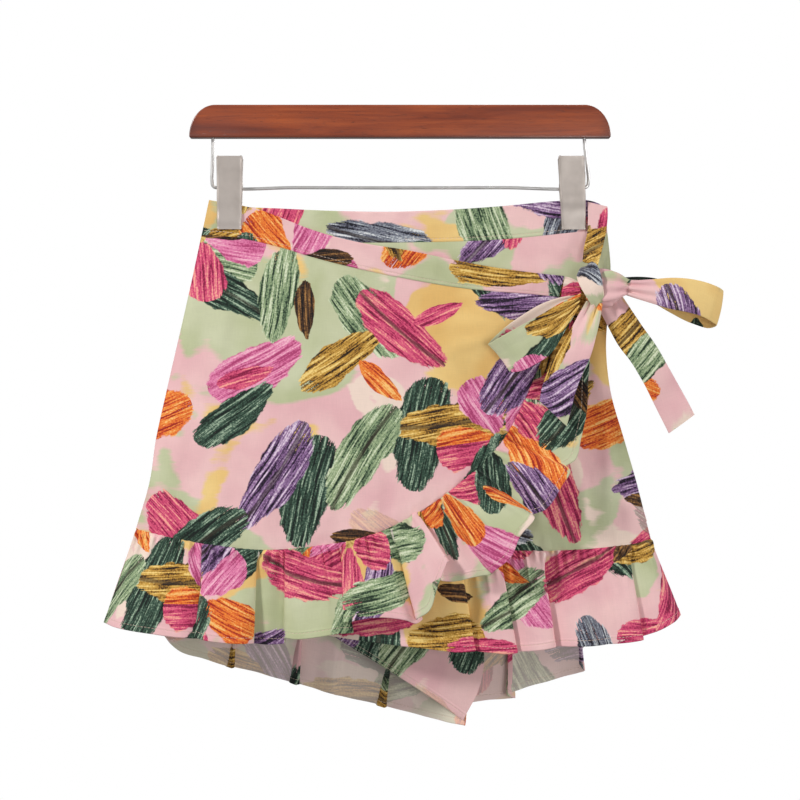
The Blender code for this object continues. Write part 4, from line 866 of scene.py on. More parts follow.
def cloth_material(name, group, wrong=False):
    """Printed plain-weave cotton: the print, the threads, fine slubs and a dry surface."""
    mat = bpy.data.materials.new(name)
    mat.use_nodes = True
    tree = mat.node_tree
    n = Nodes(tree)
    shade = tree.nodes["Principled BSDF"]
    place = n.new("ShaderNodeUVMap", uv_map="cut").outputs[0]
    node = n.new("ShaderNodeGroup")
    node.node_tree = group
    n.put(node.inputs[0], place)
    colour = node.outputs[0]
    # threads run both ways, 0.45 mm apart
    warp = n.new("ShaderNodeTexWave", bands_direction="X", wave_profile="SIN")
    weft = n.new("ShaderNodeTexWave", bands_direction="Y", wave_profile="SIN")
    for wave in (warp, weft):
        n.put(wave.inputs["Vector"], place)
        wave.inputs["Scale"].default_value = 0.314159 * TILE / 0.45
        wave.inputs["Distortion"].default_value = 0.0
    weave = n.maths("MULTIPLY", warp.outputs["Fac"], weft.outputs["Fac"])
    slub_a = n.noise(n.turned(place, 0.0, scale=(26.0, 640.0, 1.0)), 1.0, 2.0, 0.6)
    slub_b = n.noise(n.turned(place, 0.0, scale=(640.0, 26.0, 1.0), centre=(5.3, 2.1, 0.0)), 1.0, 2.0, 0.6)
    slub = n.maths("ADD", slub_a, slub_b)
    tone = n.ramp(slub, 0.75, 1.25, 0.965, 1.025)
    if wrong:
        # the wrong side shows the print through the cloth, paler and less saturated
        colour = n.mix(0.52, colour, linear((0.97, 0.91, 0.87)))
    lit = n.new("ShaderNodeVectorMath", operation="SCALE")
    n.put(lit.inputs[0], colour)
    n.put(lit.inputs["Scale"], tone)
    n.put(shade.inputs["Base Color"], lit.outputs[0])
    rough = n.ramp(slub, 0.7, 1.3, 0.74, 0.90)
    n.put(shade.inputs["Roughness"], rough)
    shade.inputs["Sheen Weight"].default_value = 0.12
    shade.inputs["Sheen Roughness"].default_value = 0.45
    shade.inputs["Specular IOR Level"].default_value = 0.28
    height = n.maths("MULTIPLY_ADD", weave, 0.55, n.maths("MULTIPLY", slub, 0.45))
    crumple = n.noise(place, 38.0, 3.0, 0.55, 0.4)
    fine = n.new("ShaderNodeBump")
    fine.inputs["Strength"].default_value = 0.35
    fine.inputs["Distance"].default_value = 0.00010
    n.put(fine.inputs["Height"], height)
    soft = n.new("ShaderNodeBump")
    soft.inputs["Strength"].default_value = 0.30
    soft.inputs["Distance"].default_value = 0.0007
    n.put(soft.inputs["Height"], crumple)
    n.put(soft.inputs["Normal"], fine.outputs[0])
    n.put(shade.inputs["Normal"], soft.outputs[0])
    return mat


def thread_material():
    mat = bpy.data.materials.new("sewing_thread")
    mat.use_nodes = True
    n = Nodes(mat.node_tree)
    shade = mat.node_tree.nodes["Principled BSDF"]
    at = n.new("ShaderNodeTexCoord").outputs["Object"]
    tone = n.noise(at, 900.0, 2.0, 0.6, dims="3D")
    n.put(shade.inputs["Base Color"], n.mix(n.ramp(tone, 0.3, 0.7), linear((0.80, 0.70, 0.63)), linear((0.88, 0.79, 0.72))))
    n.put(shade.inputs["Roughness"], n.ramp(tone, 0.2, 0.8, 0.55, 0.75))
    twist = n.new("ShaderNodeTexWave", bands_direction="DIAGONAL")
    n.put(twist.inputs["Vector"], at)
    twist.inputs["Scale"].default_value = 900.0
    bump = n.new("ShaderNodeBump")
    bump.inputs["Strength"].default_value = 0.4
    bump.inputs["Distance"].default_value = 0.00006
    n.put(bump.inputs["Height"], twist.outputs["Fac"])
    n.put(shade.inputs["Normal"], bump.outputs[0])
    return mat


def wood_material():
    """Cherry-stained hardwood under satin varnish; the grain runs along the bar."""
    mat = bpy.data.materials.new("stained_wood_grain")
    mat.use_nodes = True
    n = Nodes(mat.node_tree)
    shade = mat.node_tree.nodes["Principled BSDF"]
    at = n.new("ShaderNodeTexCoord").outputs["Object"]
    long_way = n.turned(at, 0.0, scale=(7.0, 120.0, 95.0))
    figure = n.noise(long_way, 1.0, 4.0, 0.55, 0.6, dims="3D")
    fine = n.noise(n.turned(at, 0.0, scale=(38.0, 900.0, 900.0)), 1.0, 3.0, 0.6, dims="3D")
    pores = n.noise(n.turned(at, 0.0, scale=(120.0, 2400.0, 2400.0)), 1.0, 1.0, 0.5, dims="3D")
    cloud = n.noise(at, 16.0, 2.0, 0.5, dims="3D")
    colour = n.colours(figure, [(0.25, (0.40, 0.15, 0.07)), (0.42, (0.53, 0.23, 0.11)),
                                (0.55, (0.62, 0.29, 0.14)), (0.75, (0.71, 0.36, 0.17))])
    colour = n.mix(n.ramp(cloud, 0.35, 0.7, 0.0, 0.45), colour, linear((0.48, 0.20, 0.11)))
    colour = n.mix(n.ramp(fine, 0.45, 0.75, 0.0, 0.30), colour, linear((0.30, 0.11, 0.07)))
    dark = n.ramp(pores, 0.66, 0.74, 0.0, 0.55)
    colour = n.mix(dark, colour, linear((0.18, 0.06, 0.04)))
    # painted shade darkens the lower edge, a painted highlight lightens the upper edge, and the colour is darker
    # towards both ends
    split = n.new("ShaderNodeSeparateXYZ")
    n.put(split.inputs[0], at)
    # painted shade: darker along the lower edge, where the bar faces away from the light
    low = n.ramp(split.outputs[2], -0.0280, -0.0245, 0.55, 0.0, smooth=True)
    colour = n.mix(low, colour, linear((0.22, 0.08, 0.05)))
    # painted highlight: lighter along the upper edge, which faces the light
    top = n.ramp(split.outputs[2], -0.0020, -0.0004, 0.0, 0.35, smooth=True)
    colour = n.mix(top, colour, linear((0.66, 0.34, 0.21)))
    ends = n.ramp(n.maths("ABSOLUTE", split.outputs[0]), 0.168, 0.180, 0.0, 0.45, smooth=True)
    colour = n.mix(ends, colour, linear((0.30, 0.12, 0.08)))
    n.put(shade.inputs["Base Color"], colour)
    n.put(shade.inputs["Roughness"], n.ramp(n.maths("ADD", cloud, fine), 0.6, 1.4, 0.30, 0.46))
    shade.inputs["Coat Weight"].default_value = 0.35
    shade.inputs["Coat Roughness"].default_value = 0.22
    bump = n.new("ShaderNodeBump")
    bump.inputs["Strength"].default_value = 0.35
    bump.inputs["Distance"].default_value = 0.00015
    n.put(bump.inputs["Height"], n.maths("MULTIPLY_ADD", dark, -0.8, fine))
    n.put(shade.inputs["Normal"], bump.outputs[0])
    return mat


def metal_material(name, colour, dark, rough, lines=(1.0, 1.0, 1.0), metal=1.0):
    """Plated metal: fine drawing lines, faint handling marks, dull spots."""
    mat = bpy.data.materials.new(name)
    mat.use_nodes = True
    n = Nodes(mat.node_tree)
    shade = mat.node_tree.nodes["Principled BSDF"]
    at = n.new("ShaderNodeTexCoord").outputs["Object"]
    brushed = n.noise(n.turned(at, 0.0, scale=tuple(1200.0 * k for k in lines)), 1.0, 3.0, 0.6, dims="3D")
    smear = n.noise(at, 60.0, 2.0, 0.5, 0.2, dims="3D")
    n.put(shade.inputs["Base Color"], n.mix(n.ramp(smear, 0.35, 0.75), linear(colour), linear(dark)))
    shade.inputs["Metallic"].default_value = metal
    n.put(shade.inputs["Roughness"], n.ramp(n.maths("ADD", smear, n.maths("MULTIPLY", brushed, 0.6)),
                                            0.5, 1.1, rough, rough + 0.16))
    bump = n.new("ShaderNodeBump")
    bump.inputs["Strength"].default_value = 0.22
    bump.inputs["Distance"].default_value = 0.00006
    n.put(bump.inputs["Height"], brushed)
    n.put(shade.inputs["Normal"], bump.outputs[0])
    return mat


PRINT = print_group()
RIGHT_SIDE = cloth_material("printed_cotton_right", PRINT)
WRONG_SIDE = cloth_material("printed_cotton_wrong", PRINT, wrong=True)
CLOTHS = (RIGHT_SIDE, WRONG_SIDE)
THREAD = thread_material()
WOOD = wood_material()
NICKEL = metal_material("nickel_wire_plated", (0.88, 0.87, 0.86), (0.78, 0.77, 0.76), 0.24, lines=(0.06, 1.0, 1.0), metal=0.6)
PLATE = metal_material("clip_plate_satin", (0.77, 0.73, 0.70), (0.69, 0.65, 0.62), 0.42, lines=(1.0, 1.0, 0.08), metal=0.55)
SPRING = metal_material("spring_wire", (0.70, 0.70, 0.70), (0.52, 0.52, 0.53), 0.25, lines=(1.0, 0.1, 1.0))
# ---- the garment's edges, as the pieces meet them ----------------------
CREASES_OVER = [  # x, z of one end, x, z of the other, height, half width
    (150.0, -164.0, 60.0, -176.0, 1.5, 5.0), (146.0, -170.0, 38.0, -208.0, 1.3, 7.0),
    (136.0, -186.0, 74.0, -262.0, 1.2, 8.0), (120.0, -176.0, -30.0, -186.0, 0.8, 9.0),
    (-84.0, -134.0, 20.0, -160.0, 0.9, 5.0), (-148.0, -118.0, -160.0, -232.0, 1.2, 9.0),
    (-132.0, -122.0, -118.0, -196.0, 0.8, 7.0), (-60.0, -296.0, -68.0, -372.0, 1.3, 9.0),
    (-112.0, -300.0, -120.0, -377.0, 1.2, 10.0), (-22.0, -288.0, -26.0, -364.0, 1.1, 8.0),
    (-152.0, -312.0, -162.0, -372.0, 1.1, 8.0), (18.0, -276.0, 16.0, -346.0, 1.0, 8.0),
    (-186.0, -236.0, -206.0, -352.0, 1.0, 8.0), (52.0, -262.0, 56.0, -316.0, 1.0, 7.0),
    (-90.0, -210.0, -40.0, -330.0, 0.9, 14.0), (-6.0, -196.0, -30.0, -300.0, 0.8, 13.0),
    (84.0, -216.0, 84.0, -286.0, 0.9, 6.0),
]
CREASES_UNDER = [
    (132.0, -210.0, 140.0, -370.0, 1.0, 8.0), (160.0, -190.0, 176.0, -366.0, 1.3, 7.0),
    (150.0, -300.0, 154.0, -380.0, 1.2, 6.0), (118.0, -300.0, 112.0, -380.0, 1.1, 6.0),
    (196.0, -320.0, 202.0, -372.0, 1.0, 5.0), (172.0, -150.0, 166.0, -250.0, 1.0, 6.0),
    (96.0, -330.0, 92.0, -380.0, 0.8, 5.0),
]
CREASES_BACK_L = [
    (-20.0, -122.0, -40.0, -240.0, 1.1, 8.0), (-80.0, -118.0, -96.0, -230.0, 1.0, 9.0),
    (-140.0, -118.0, -160.0, -260.0, 1.1, 9.0), (-60.0, -300.0, -70.0, -420.0, 1.2, 10.0),
    (-120.0, -290.0, -132.0, -404.0, 1.2, 10.0), (0.0, -300.0, 10.0, -420.0, 1.0, 9.0),
    (-180.0, -290.0, -196.0, -376.0, 1.0, 8.0), (10.0, -250.0, -60.0, -290.0, 0.9, 12.0),
]
CREASES_BACK_R = [
    (60.0, -120.0, 66.0, -230.0, 1.1, 8.0), (120.0, -116.0, 128.0, -240.0, 1.0, 9.0),
    (160.0, -124.0, 158.0, -240.0, 0.9, 7.0), (90.0, -300.0, 96.0, -424.0, 1.2, 10.0),
    (150.0, -290.0, 160.0, -400.0, 1.2, 9.0), (50.0, -310.0, 50.0, -430.0, 1.0, 8.0),
    (20.0, -250.0, 90.0, -286.0, 0.9, 12.0), (190.0, -310.0, 198.0, -372.0, 0.9, 6.0),
]


def ridges(x, z, creases):
    """Height of soft creases at a point of a panel."""
    out = np.zeros(np.shape(x))
    for x0, z0, x1, z1, high, wide in creases:
        dx, dz = x1 - x0, z1 - z0
        length = math.hypot(dx, dz)
        t = ((x - x0) * dx + (z - z0) * dz) / length**2
        bow = 0.05 * length * np.sin(np.pi * np.clip(t, 0, 1))
        off = ((x - x0) * dz - (z - z0) * dx) / length + bow
        out += 1.55 * high * np.exp(-(off / (0.85 * wide)) ** 2) * np.sin(np.pi * np.clip(t, 0, 1)) ** 0.8
    return out


def swell(x, z, seed, size=60.0, high=1.0):
    """Slow uneven fullness of hanging cloth, from 0 to about 'high'."""
    pick = np.random.RandomState(seed)
    out = np.zeros(np.shape(x))
    for _ in range(9):
        a = pick.uniform(0, math.pi)
        f = 2 * math.pi / (size * pick.uniform(0.6, 1.7))
        out += np.sin(f * (x * math.cos(a) * 1.6 + z * math.sin(a) * 0.55) + pick.uniform(0, 6.28))
    return high * (0.5 + out / 18.0)


def puckers(p, seed, low=4.5, high=9.0, tall=(2.4, 4.8)):
    """Gathers of a ruffle: place on the seam, height, half width, reach, all mm."""
    pick = np.random.RandomState(seed)
    out, at = [], pick.uniform(0, high)
    while at < p:
        reach = pick.uniform(10, 30) * (2.6 if pick.uniform() < 0.35 else 1.0)
        out.append((at, pick.uniform(*tall), pick.uniform(1.3, 2.4), reach))
        at += pick.uniform(low, high)
    return out


def length_of(points):
    return float(np.linalg.norm(np.diff(points, axis=0), axis=-1).sum())


def panel(name, layer, edges, side, origin, turn, step=2.8, share=1.0, low=None, high=None,
          creases=(), full=0.8, calm=None, sides=(0.4, 0.4), top_in=0.0, hem=False, seed=1):
    """A panel's thin wall: its patch on the shared form, with its creases, tucked into its seams."""
    width = max(length_of(along(edges[0], np.linspace(0, 1, 40))[:, :2]),
                length_of(along(edges[1], np.linspace(0, 1, 40))[:, :2]))
    tall = max(length_of(along(edges[2], np.linspace(0, 1, 40))[:, :2]),
               length_of(along(edges[3], np.linspace(0, 1, 40))[:, :2]))
    u = rows_between(width, step, top=(0.0, 0.4, 1.2, 2.4), bottom=(0.0, 0.4, 1.2, 2.4))
    v = rows_between(tall, step, top=(0.0, 0.8, 2.0), bottom=HEM_ROWS if hem else (0.0, 0.4, 1.2, 2.4))
    mid = panel_points(layer, edges, u, v, side=side, share=share, low=low, high=high)
    x, z = mid[..., 0].copy(), mid[..., 2].copy()
    uu, vv = np.meshgrid(u, v, indexing="ij")
    d_left, d_right = uu * width, (1 - uu) * width
    d_top, d_low = vv * tall, (1 - vv) * tall
    rest = ease(d_top / 22) * ease(d_left / 16) * ease(d_right / 16) * ease((d_low - 1) / 10)
    rise = (ridges(x, z, creases) + swell(x, z, seed, high=full)) * rest
    if calm is not None:
        rise = rise * calm(x, z)
    # seams draw the cloth in: short puckers just above the ruffle
    if not hem:
        wave = np.zeros(x.shape)
        for at, h, w, reach in puckers(width, seed + 50, 7.0, 15.0, (0.6, 1.4)):
            wave += h * np.exp(-((d_left - at) / (1.5 * w)) ** 2) * np.exp(-d_low / (0.55 * reach))
        rise = rise + wave * ease(d_low / 2.0) * (calm(x, z) if calm is not None else 1.0)
    mid[..., 1] += side * rise
    # the side seams close on the back, and the top runs up into the band
    layer_y = abs(LAYER[layer])
    for d, gap in ((d_left, sides[0]), (d_right, sides[1])):
        if gap is not None:
            mid[..., 1] -= side * (layer_y - gap) * (1 - ease(d / 9.0))
    if top_in:
        mid[..., 1] -= side * top_in * (1 - ease(d_top / 9.0))
    thick = hem_thickness(d_low) if hem else PLY
    cut = placed(np.stack([x, z], axis=-1), origin, turn)
    shell(name, mid, thick, cut, side, CLOTHS)
    PIECES[name].update(u=u, v=v, d_low=(1 - v) * tall, size=(width, tall), right=side)
    return PIECES[name]


def outer(piece, j):
    """A row of a piece's right side, and the way it faces."""
    if piece["right"] > 0:
        return piece["plus"][:, j], piece["n"][:, j]
    return piece["minus"][:, j], -piece["n"][:, j]


def inner(piece, j):
    if piece["right"] > 0:
        return piece["minus"][:, j], -piece["n"][:, j]
    return piece["plus"][:, j], piece["n"][:, j]


def row_at(piece, d):
    return int(np.argmin(np.abs(piece["d_low"] - d)))


def seam_of(layer, edges, side=-1.0):
    """Lower edge of a panel as points at a fraction of its length."""
    def at(a):
        q = along(edges[1], a)
        y = side * form_depth(q[:, 0], q[:, 1]) + LAYER[layer] + q[:, 2]
        return np.stack([q[:, 0], y, q[:, 1]], axis=-1)
    return at


def ruffle(name, layer, edges, hem, side, origin, turn, tall, steps, seed, fold=0.58, soft=1.5,
           closed=(False, False)):
    """A gathered ruffle: pleats that lie over each other at the hem, fine gathers at the seam."""
    seam = seam_of(layer, edges, side)
    k, at, pts = hem_curve(hem)
    hem_line = flow(k, pts, np.linspace(0, 1, 2000))
    wide = length_of(hem_line)
    s = np.linspace(0, 1, steps)
    # rows at true distances from the seam and from the hem's edge
    dense = strip_points(seam, hem, s, np.linspace(0, 1, 61), drop=-0.9, fold=fold)
    fall = np.concatenate([np.zeros((steps, 1)),
                           np.cumsum(np.linalg.norm(np.diff(dense, axis=1), axis=-1), axis=1)], axis=1)
    high = fall[:, -1]
    tops, hems = np.array((0.0, 0.7, 1.6, 2.8, 4.3)), np.array(HEM_ROWS)[::-1]
    body = np.linspace(0, 1, max(4, int(round(tall / 2.1))) + 1)[1:-1]
    d_top = np.concatenate([np.broadcast_to(tops, (steps, len(tops))),
                            4.3 + (high - 4.3 - hems[0])[:, None] * body,
                            high[:, None] - hems], axis=1)
    mid = np.empty(d_top.shape + (3,))
    for i in range(steps):
        for c in range(3):
            mid[i, :, c] = np.interp(d_top[i], fall[i], dense[i, :, c])
    t = d_top[0] / high[0]
    at_s = np.interp(s, k, at)
    seam_line = seam(np.linspace(0, 1, 400))
    p = at_s * length_of(seam_line)
    rise = np.zeros(d_top.shape)
    for place, h, w, reach in puckers(p[-1], seed):
        shape = np.exp(-((p - place) / w) ** 2)[:, None]
        rise += h * shape * (1 - ease(d_top / reach)) * ease((d_top - 0.4) / 3.0)
    pick = np.random.RandomState(seed + 7)
    run = s * wide
    for _ in range(7):
        f = 2 * math.pi / pick.uniform(22, 60)
        rise += soft / 7 * (1 + np.sin(f * run + pick.uniform(0, 6.28)))[:, None] * ease(d_top / (0.8 * tall))
    n = normals_of(mid)
    mid = mid + n * (side * rise)[..., None]
    mid[..., 1] -= side * 0.75 * (1 - ease(d_top / 4.0))
    # the side seam brings the end of the front's ruffle and of the back's together
    for joined, edge, away in zip(closed, (0, -1), (run, run[-1] - run)):
        if joined:
            mid[..., 1] += (side * 0.45 - mid[edge, :, 1])[None, :] * (1 - ease(away / 14.0))[:, None]
    d_low = high[:, None] - d_top
    cut = placed(np.stack([np.broadcast_to(run[:, None], d_top.shape), -d_top], axis=-1), origin, turn)
    shell(name, mid, hem_thickness(d_low), cut, side, CLOTHS)
    flat = float((0.5 * (high[1:] + high[:-1])
                  * np.linalg.norm(np.diff(mid[:, -1], axis=0), axis=1)).sum()) * 1e-6
    PIECES[name].update(d_low=d_low[0], size=(wide, float(high.max())), right=side, flat=flat)
    return PIECES[name]


def band(name, layer, top, seam, side, origin, turn, tall, seed, ends_in=(0.0, 0.0)):
    """A folded band: rounded top fold, a stitched lower edge, slight puckers."""
    wide = length_of(along(seam, np.linspace(0, 1, 60))[:, :2])
    u = rows_between(wide, 1.9, top=(0.0, 0.4, 1.2), bottom=(0.0, 0.4, 1.2))
    v = rows_between(tall, 1.4, top=(0.0, 0.12, 0.35, 0.7, 1.2, 1.8),
                     bottom=(0.0, 0.12, 0.35, 0.8, 1.6, 2.4, 2.7, 3.0, 3.3, 3.6, 4.4))
    mid = panel_points(layer, (top, seam, straight(top[0], seam[0]), straight(top[-1], seam[-1])), u, v, side=side)
    uu, vv = np.meshgrid(u, v, indexing="ij")
    x, z = mid[..., 0].copy(), mid[..., 2].copy()
    d_top, d_low = vv * tall, (1 - vv) * tall
    pick = np.random.RandomState(seed)
    rise = np.zeros(uu.shape)
    for _ in range(12):
        f = 2 * math.pi / pick.uniform(9, 34)
        lean = pick.uniform(-0.5, 0.5)
        rise += 0.05 * np.sin(f * (uu * wide + lean * d_top) + pick.uniform(0, 6.28))
    rise = rise * ease(d_top / 4) * ease((d_low - 2) / 3)
    mid[..., 1] += side * rise
    for d, gap in ((uu * wide, ends_in[0]), ((1 - uu) * wide, ends_in[1])):
        mid[..., 1] -= side * gap * (1 - ease(d / 12.0))
    thick = band_thickness(d_top, d_low)
    cut = placed(np.stack([x, z], axis=-1), origin, turn)
    shell(name, mid, thick, cut, side, CLOTHS[:1])
    PIECES[name].update(u=u, v=v, d_low=(1 - v) * tall, size=(wide, tall), right=side)
    return PIECES[name]


def ribbon(name, rows, origin, turn, steps, across=26, crown=0.0, pinch=(0.0, 0.0), folds=2.5,
           reach=26.0, seed=1, bow=0.0, thick=TIE_THICK, right=0):
    """A tie's thin wall along its sections, drawn into folds where it is held."""
    p = np.asarray(rows, float)
    run = length_of(flow(np.linspace(0, 1, len(p)), p[:, :3], np.linspace(0, 1, 400)))
    s = np.linspace(0, 1, steps)
    wide = float(p[:, 3].max())
    t = rows_between(wide, wide / across, top=(0.0, 0.2, 0.6, 1.2), bottom=(0.0, 0.2, 0.6, 1.2))
    mid = ribbon_points(rows, s, t)
    n = normals_of(mid)
    ss, tt = np.meshgrid(s * run, t, indexing="ij")
    pick = np.random.RandomState(seed)
    phase = pick.uniform(0, 6.28)
    rise = crown * (4 * tt * (1 - tt) - 0.66)
    near = pinch[0] * np.exp(-(ss / reach) ** 1.4) + pinch[1] * np.exp(-((run - ss) / reach) ** 1.4)
    rise = rise + near * np.sin(2 * math.pi * folds * tt + phase) * ease(tt / 0.06) * ease((1 - tt) / 0.06)
    for _ in range(5):
        f = 2 * math.pi / pick.uniform(26, 70)
        rise += bow / 5 * np.sin(f * ss + 2.4 * pick.uniform(-1, 1) * tt + pick.uniform(0, 6.28))
    mid = mid + n * rise[..., None]
    edge = np.minimum(tt, 1 - tt) * wide
    depth = thick * (0.4 + 0.6 * np.sqrt(1 - (1 - np.clip(edge / 0.8, 0, 1)) ** 2))
    cut = placed(np.stack([ss, (tt - 0.5) * wide], axis=-1), origin, turn)
    shell(name, mid, depth, cut, right, CLOTHS)
    PIECES[name].update(u=s, v=t, d_low=(1 - t) * wide, size=(run, wide), right=1)
    return PIECES[name]


# ---- bands -------------------------------------------------------------
TUCK = 0.9   # how far a panel's top runs up behind its band
band("cloth_waistband_front", "waistband_front", WAIST_TOP, WAIST_SEAM, -1.0, (40, 210), 6, 27.0, 3)
low_top, low_seam = shifted(WAIST_TOP, dz=-1.5), shifted(WAIST_SEAM, dz=-1.5)
band("cloth_waistband_back", "waistband_back", low_top, low_seam, 1.0, (190, 20), -4, 27.0, 5)
band("cloth_wrap_band", "wrap_band", WRAP_TOP, WRAP_SEAM, -1.0, (150, 122), 0, 24.0, 9, ends_in=(0.6, 0.0))

# ---- panels ------------------------------------------------------------
OVER_TOP = shifted(WRAP_SEAM, dz=TUCK)
OVER_LEFT = [(-169.7, -111.0, 0.0), (-182.0, -167.0, 0.0), (-199.6, -243.8, 0.0),
             (-209.0, -286.6, 0.0), (-214.0, -321.0, 0.0), (-226.0, -362.8, 0.0)]
OVER_LEFT[0] = OVER_TOP[0]
OVER = (OVER_TOP, SEAM_OVER, OVER_LEFT, straight(OVER_TOP[-1], SEAM_OVER[-1]))
panel("cloth_front_over", "front_over", OVER, -1.0, (230, 95), 0, creases=CREASES_OVER,
      full=1.3, sides=(1.9, None), seed=11)

UNDER_TOP = [(r[0], r[1] + TUCK, 0.0) for r in
             [tuple(along(WAIST_SEAM, a)) for a in (0.318, 0.45, 0.6, 0.75, 0.9, 1.0)]]
UNDER_LEFT[0] = UNDER_TOP[0]
UNDER_RIGHT = [UNDER_TOP[-1], (180.4, -142.0, 0.0), (179.0, -167.0, 0.0), (176.5, -210.0, 0.0),
               (180.0, -243.5, 0.0), (192.0, -286.5, 0.0), (202.0, -321.0, 0.0),
               UNDER_SEAM[-1]]
UNDER = (UNDER_TOP, UNDER_SEAM, UNDER_LEFT, UNDER_RIGHT)


def seen_under(x, z):
    """1 where the under wrap is free of the over wrap, 0 where it lies beneath."""
    edge = np.interp(-z, [165, 183, 210, 235, 272, 300, 318, 335, 353, 375],
                     [140, 136, 127, 117, 100, 80, 60, 39, 10, -40])
    return ease((x - edge - 4.0) / 14.0) * ease((-z - 168) / 16.0)


panel("cloth_front_under", "front_under", UNDER, -1.0, (420, 580), 3, creases=CREASES_UNDER,
      full=1.0, calm=seen_under, sides=(None, 1.15), top_in=0.75, seed=13)

SHORT_L_TOP = [(r[0], r[1] + TUCK, 0.0) for r in
               [tuple(along(WAIST_SEAM, a)) for a in (0.0, 0.12, 0.25, 0.38, 0.494)]]
SHORT_R_TOP = [(r[0], r[1] + TUCK, 0.0) for r in
               [tuple(along(WAIST_SEAM, a)) for a in (0.497, 0.62, 0.75, 0.88, 1.0)]]
SHORT_L_LEFT = [SHORT_L_TOP[0], (-181.1, -167.0, 0.0), (-198.8, -243.8, 0.0),
                (-213.0, -321.0, 0.0), SHORT_L_HEM[0]]
SHORT_R_RIGHT = [SHORT_R_TOP[-1], (180.0, -142.0, 0.0), (176.0, -210.0, 0.0),
                 (179.5, -243.5, 0.0), (191.4, -286.5, 0.0), (201.2, -321.0, 0.0),
                 SHORT_R_HEM[-1]]
left_in = [SHORT_L_TOP[-1]] + SHORT_L_IN[1:]
right_in = [SHORT_R_TOP[0]] + SHORT_R_IN[1:]
SHORT_L = (SHORT_L_TOP, SHORT_L_HEM, SHORT_L_LEFT, left_in)
SHORT_R = (SHORT_R_TOP, SHORT_R_HEM, right_in, SHORT_R_RIGHT)


def low_only(x, z):
    return 0.25 + 0.75 * ease((-z - 400) / 40.0)


for name, edges, origin, seed, side_gap in (
        ("cloth_shorts_front_left", SHORT_L, (120, 240), 17, (0.42, None)),
        ("cloth_shorts_front_right", SHORT_R, (300, 90), 19, (None, 0.42))):
    panel(name, "shorts_front", edges, -1.0, origin, 8, step=3.4, share=SHORTS_SHARE, low=0.0,
          full=0.35, calm=low_only, sides=side_gap, top_in=0.25, hem=True, seed=seed)

BACK_L_TOP = shifted(SHORT_L_TOP, dz=-1.5)
BACK_R_TOP = shifted(SHORT_R_TOP, dz=-1.5)
BACK_L_LEFT = [BACK_L_TOP[0], (-181.5, -167.0, 0.0), (-199.2, -243.8, 0.0),
               (-213.6, -321.0, 0.0), BACK_L_SEAM[0]]
BACK_R_RIGHT = [BACK_R_TOP[-1], (180.2, -142.0, 0.0), (176.3, -210.0, 0.0),
                (179.8, -243.5, 0.0), (191.7, -286.5, 0.0), (201.6, -321.0, 0.0),
                BACK_R_SEAM[-1]]
BACK_L = (BACK_L_TOP, BACK_L_SEAM, BACK_L_LEFT, [BACK_L_TOP[-1]] + BACK_L_IN[1:])
BACK_R = (BACK_R_TOP, BACK_R_SEAM, [BACK_R_TOP[0]] + BACK_R_IN[1:], BACK_R_RIGHT)
panel("cloth_back_left", "back", BACK_L, 1.0, (20, 160), -5, step=3.0, high=0.0, creases=CREASES_BACK_L,
      full=1.4, sides=(0.42, None), seed=23)
panel("cloth_back_right", "back", BACK_R, 1.0, (210, 290), 4, step=3.0, low=0.0, creases=CREASES_BACK_R,
      full=1.4, sides=(None, 0.42), seed=29)

# ---- ruffles -----------------------------------------------------------
ruffle("cloth_ruffle_over", "front_over", OVER, HEM_OVER, -1.0, (200, -140), 0, 84.0, 820, 31, closed=(True, False))
ruffle("cloth_ruffle_under", "front_under", UNDER, HEM_UNDER, -1.0, (250, 170), 0, 86.0, 410, 37, closed=(False, True))
ruffle("cloth_ruffle_back_left", "back", BACK_L, HEM_BACK_L, 1.0, (90, 60), 0, 76.0, 350, 41, closed=(True, False))
ruffle("cloth_ruffle_back_right", "back", BACK_R, HEM_BACK_R, 1.0, (30, 200), 0, 78.0, 250, 43, closed=(False, True))

# ---- ties and bow ------------------------------------------------------
# the tails start inside the knot
TAIL_RIGHT = [(176.5, -165.5, -18.5, 22.5, 64.0, 0.0), (184.8, -180.0, -20.0, 24.0, 58.0, 0.0)] + TAIL_RIGHT[2:]
TAIL_LEFT = [(164.5, -170.0, -27.0, 14.0, 100.0, 0.0), (160.0, -182.0, -30.0, 18.5, 102.0, 0.0)] + TAIL_LEFT[1:]
ribbon("cloth_tie_strap", TIE_STRAP, (70, 130), 90, 60, crown=-0.6, pinch=(0.0, 1.2), folds=1.5, reach=16, seed=2)
ribbon("cloth_tie_wrap", TIE_WRAP, (262, 110), 0, 30, crown=0.6, pinch=(0.5, 1.1), folds=2.5, reach=16, seed=3)
ribbon("cloth_bow_loop_right", LOOP_RIGHT, (155, -495), 0, 190, crown=1.2, pinch=(1.5, 1.2), folds=2.5, bow=0.8, seed=4)
ribbon("cloth_bow_loop_left", LOOP_LEFT, (204, 250), 0, 180, crown=1.0, pinch=(1.6, 1.0), folds=3.0, reach=34, bow=0.9, seed=5)
ribbon("cloth_bow_tail_right", TAIL_RIGHT, (96, 34), 12, 110, crown=0.9, pinch=(1.3, 0.0), folds=2.0, bow=0.9, seed=6)
ribbon("cloth_bow_tail_left", TAIL_LEFT, (182, 12), -10, 100, crown=1.0, pinch=(1.5, 0.0), folds=2.5, bow=0.9, seed=7)

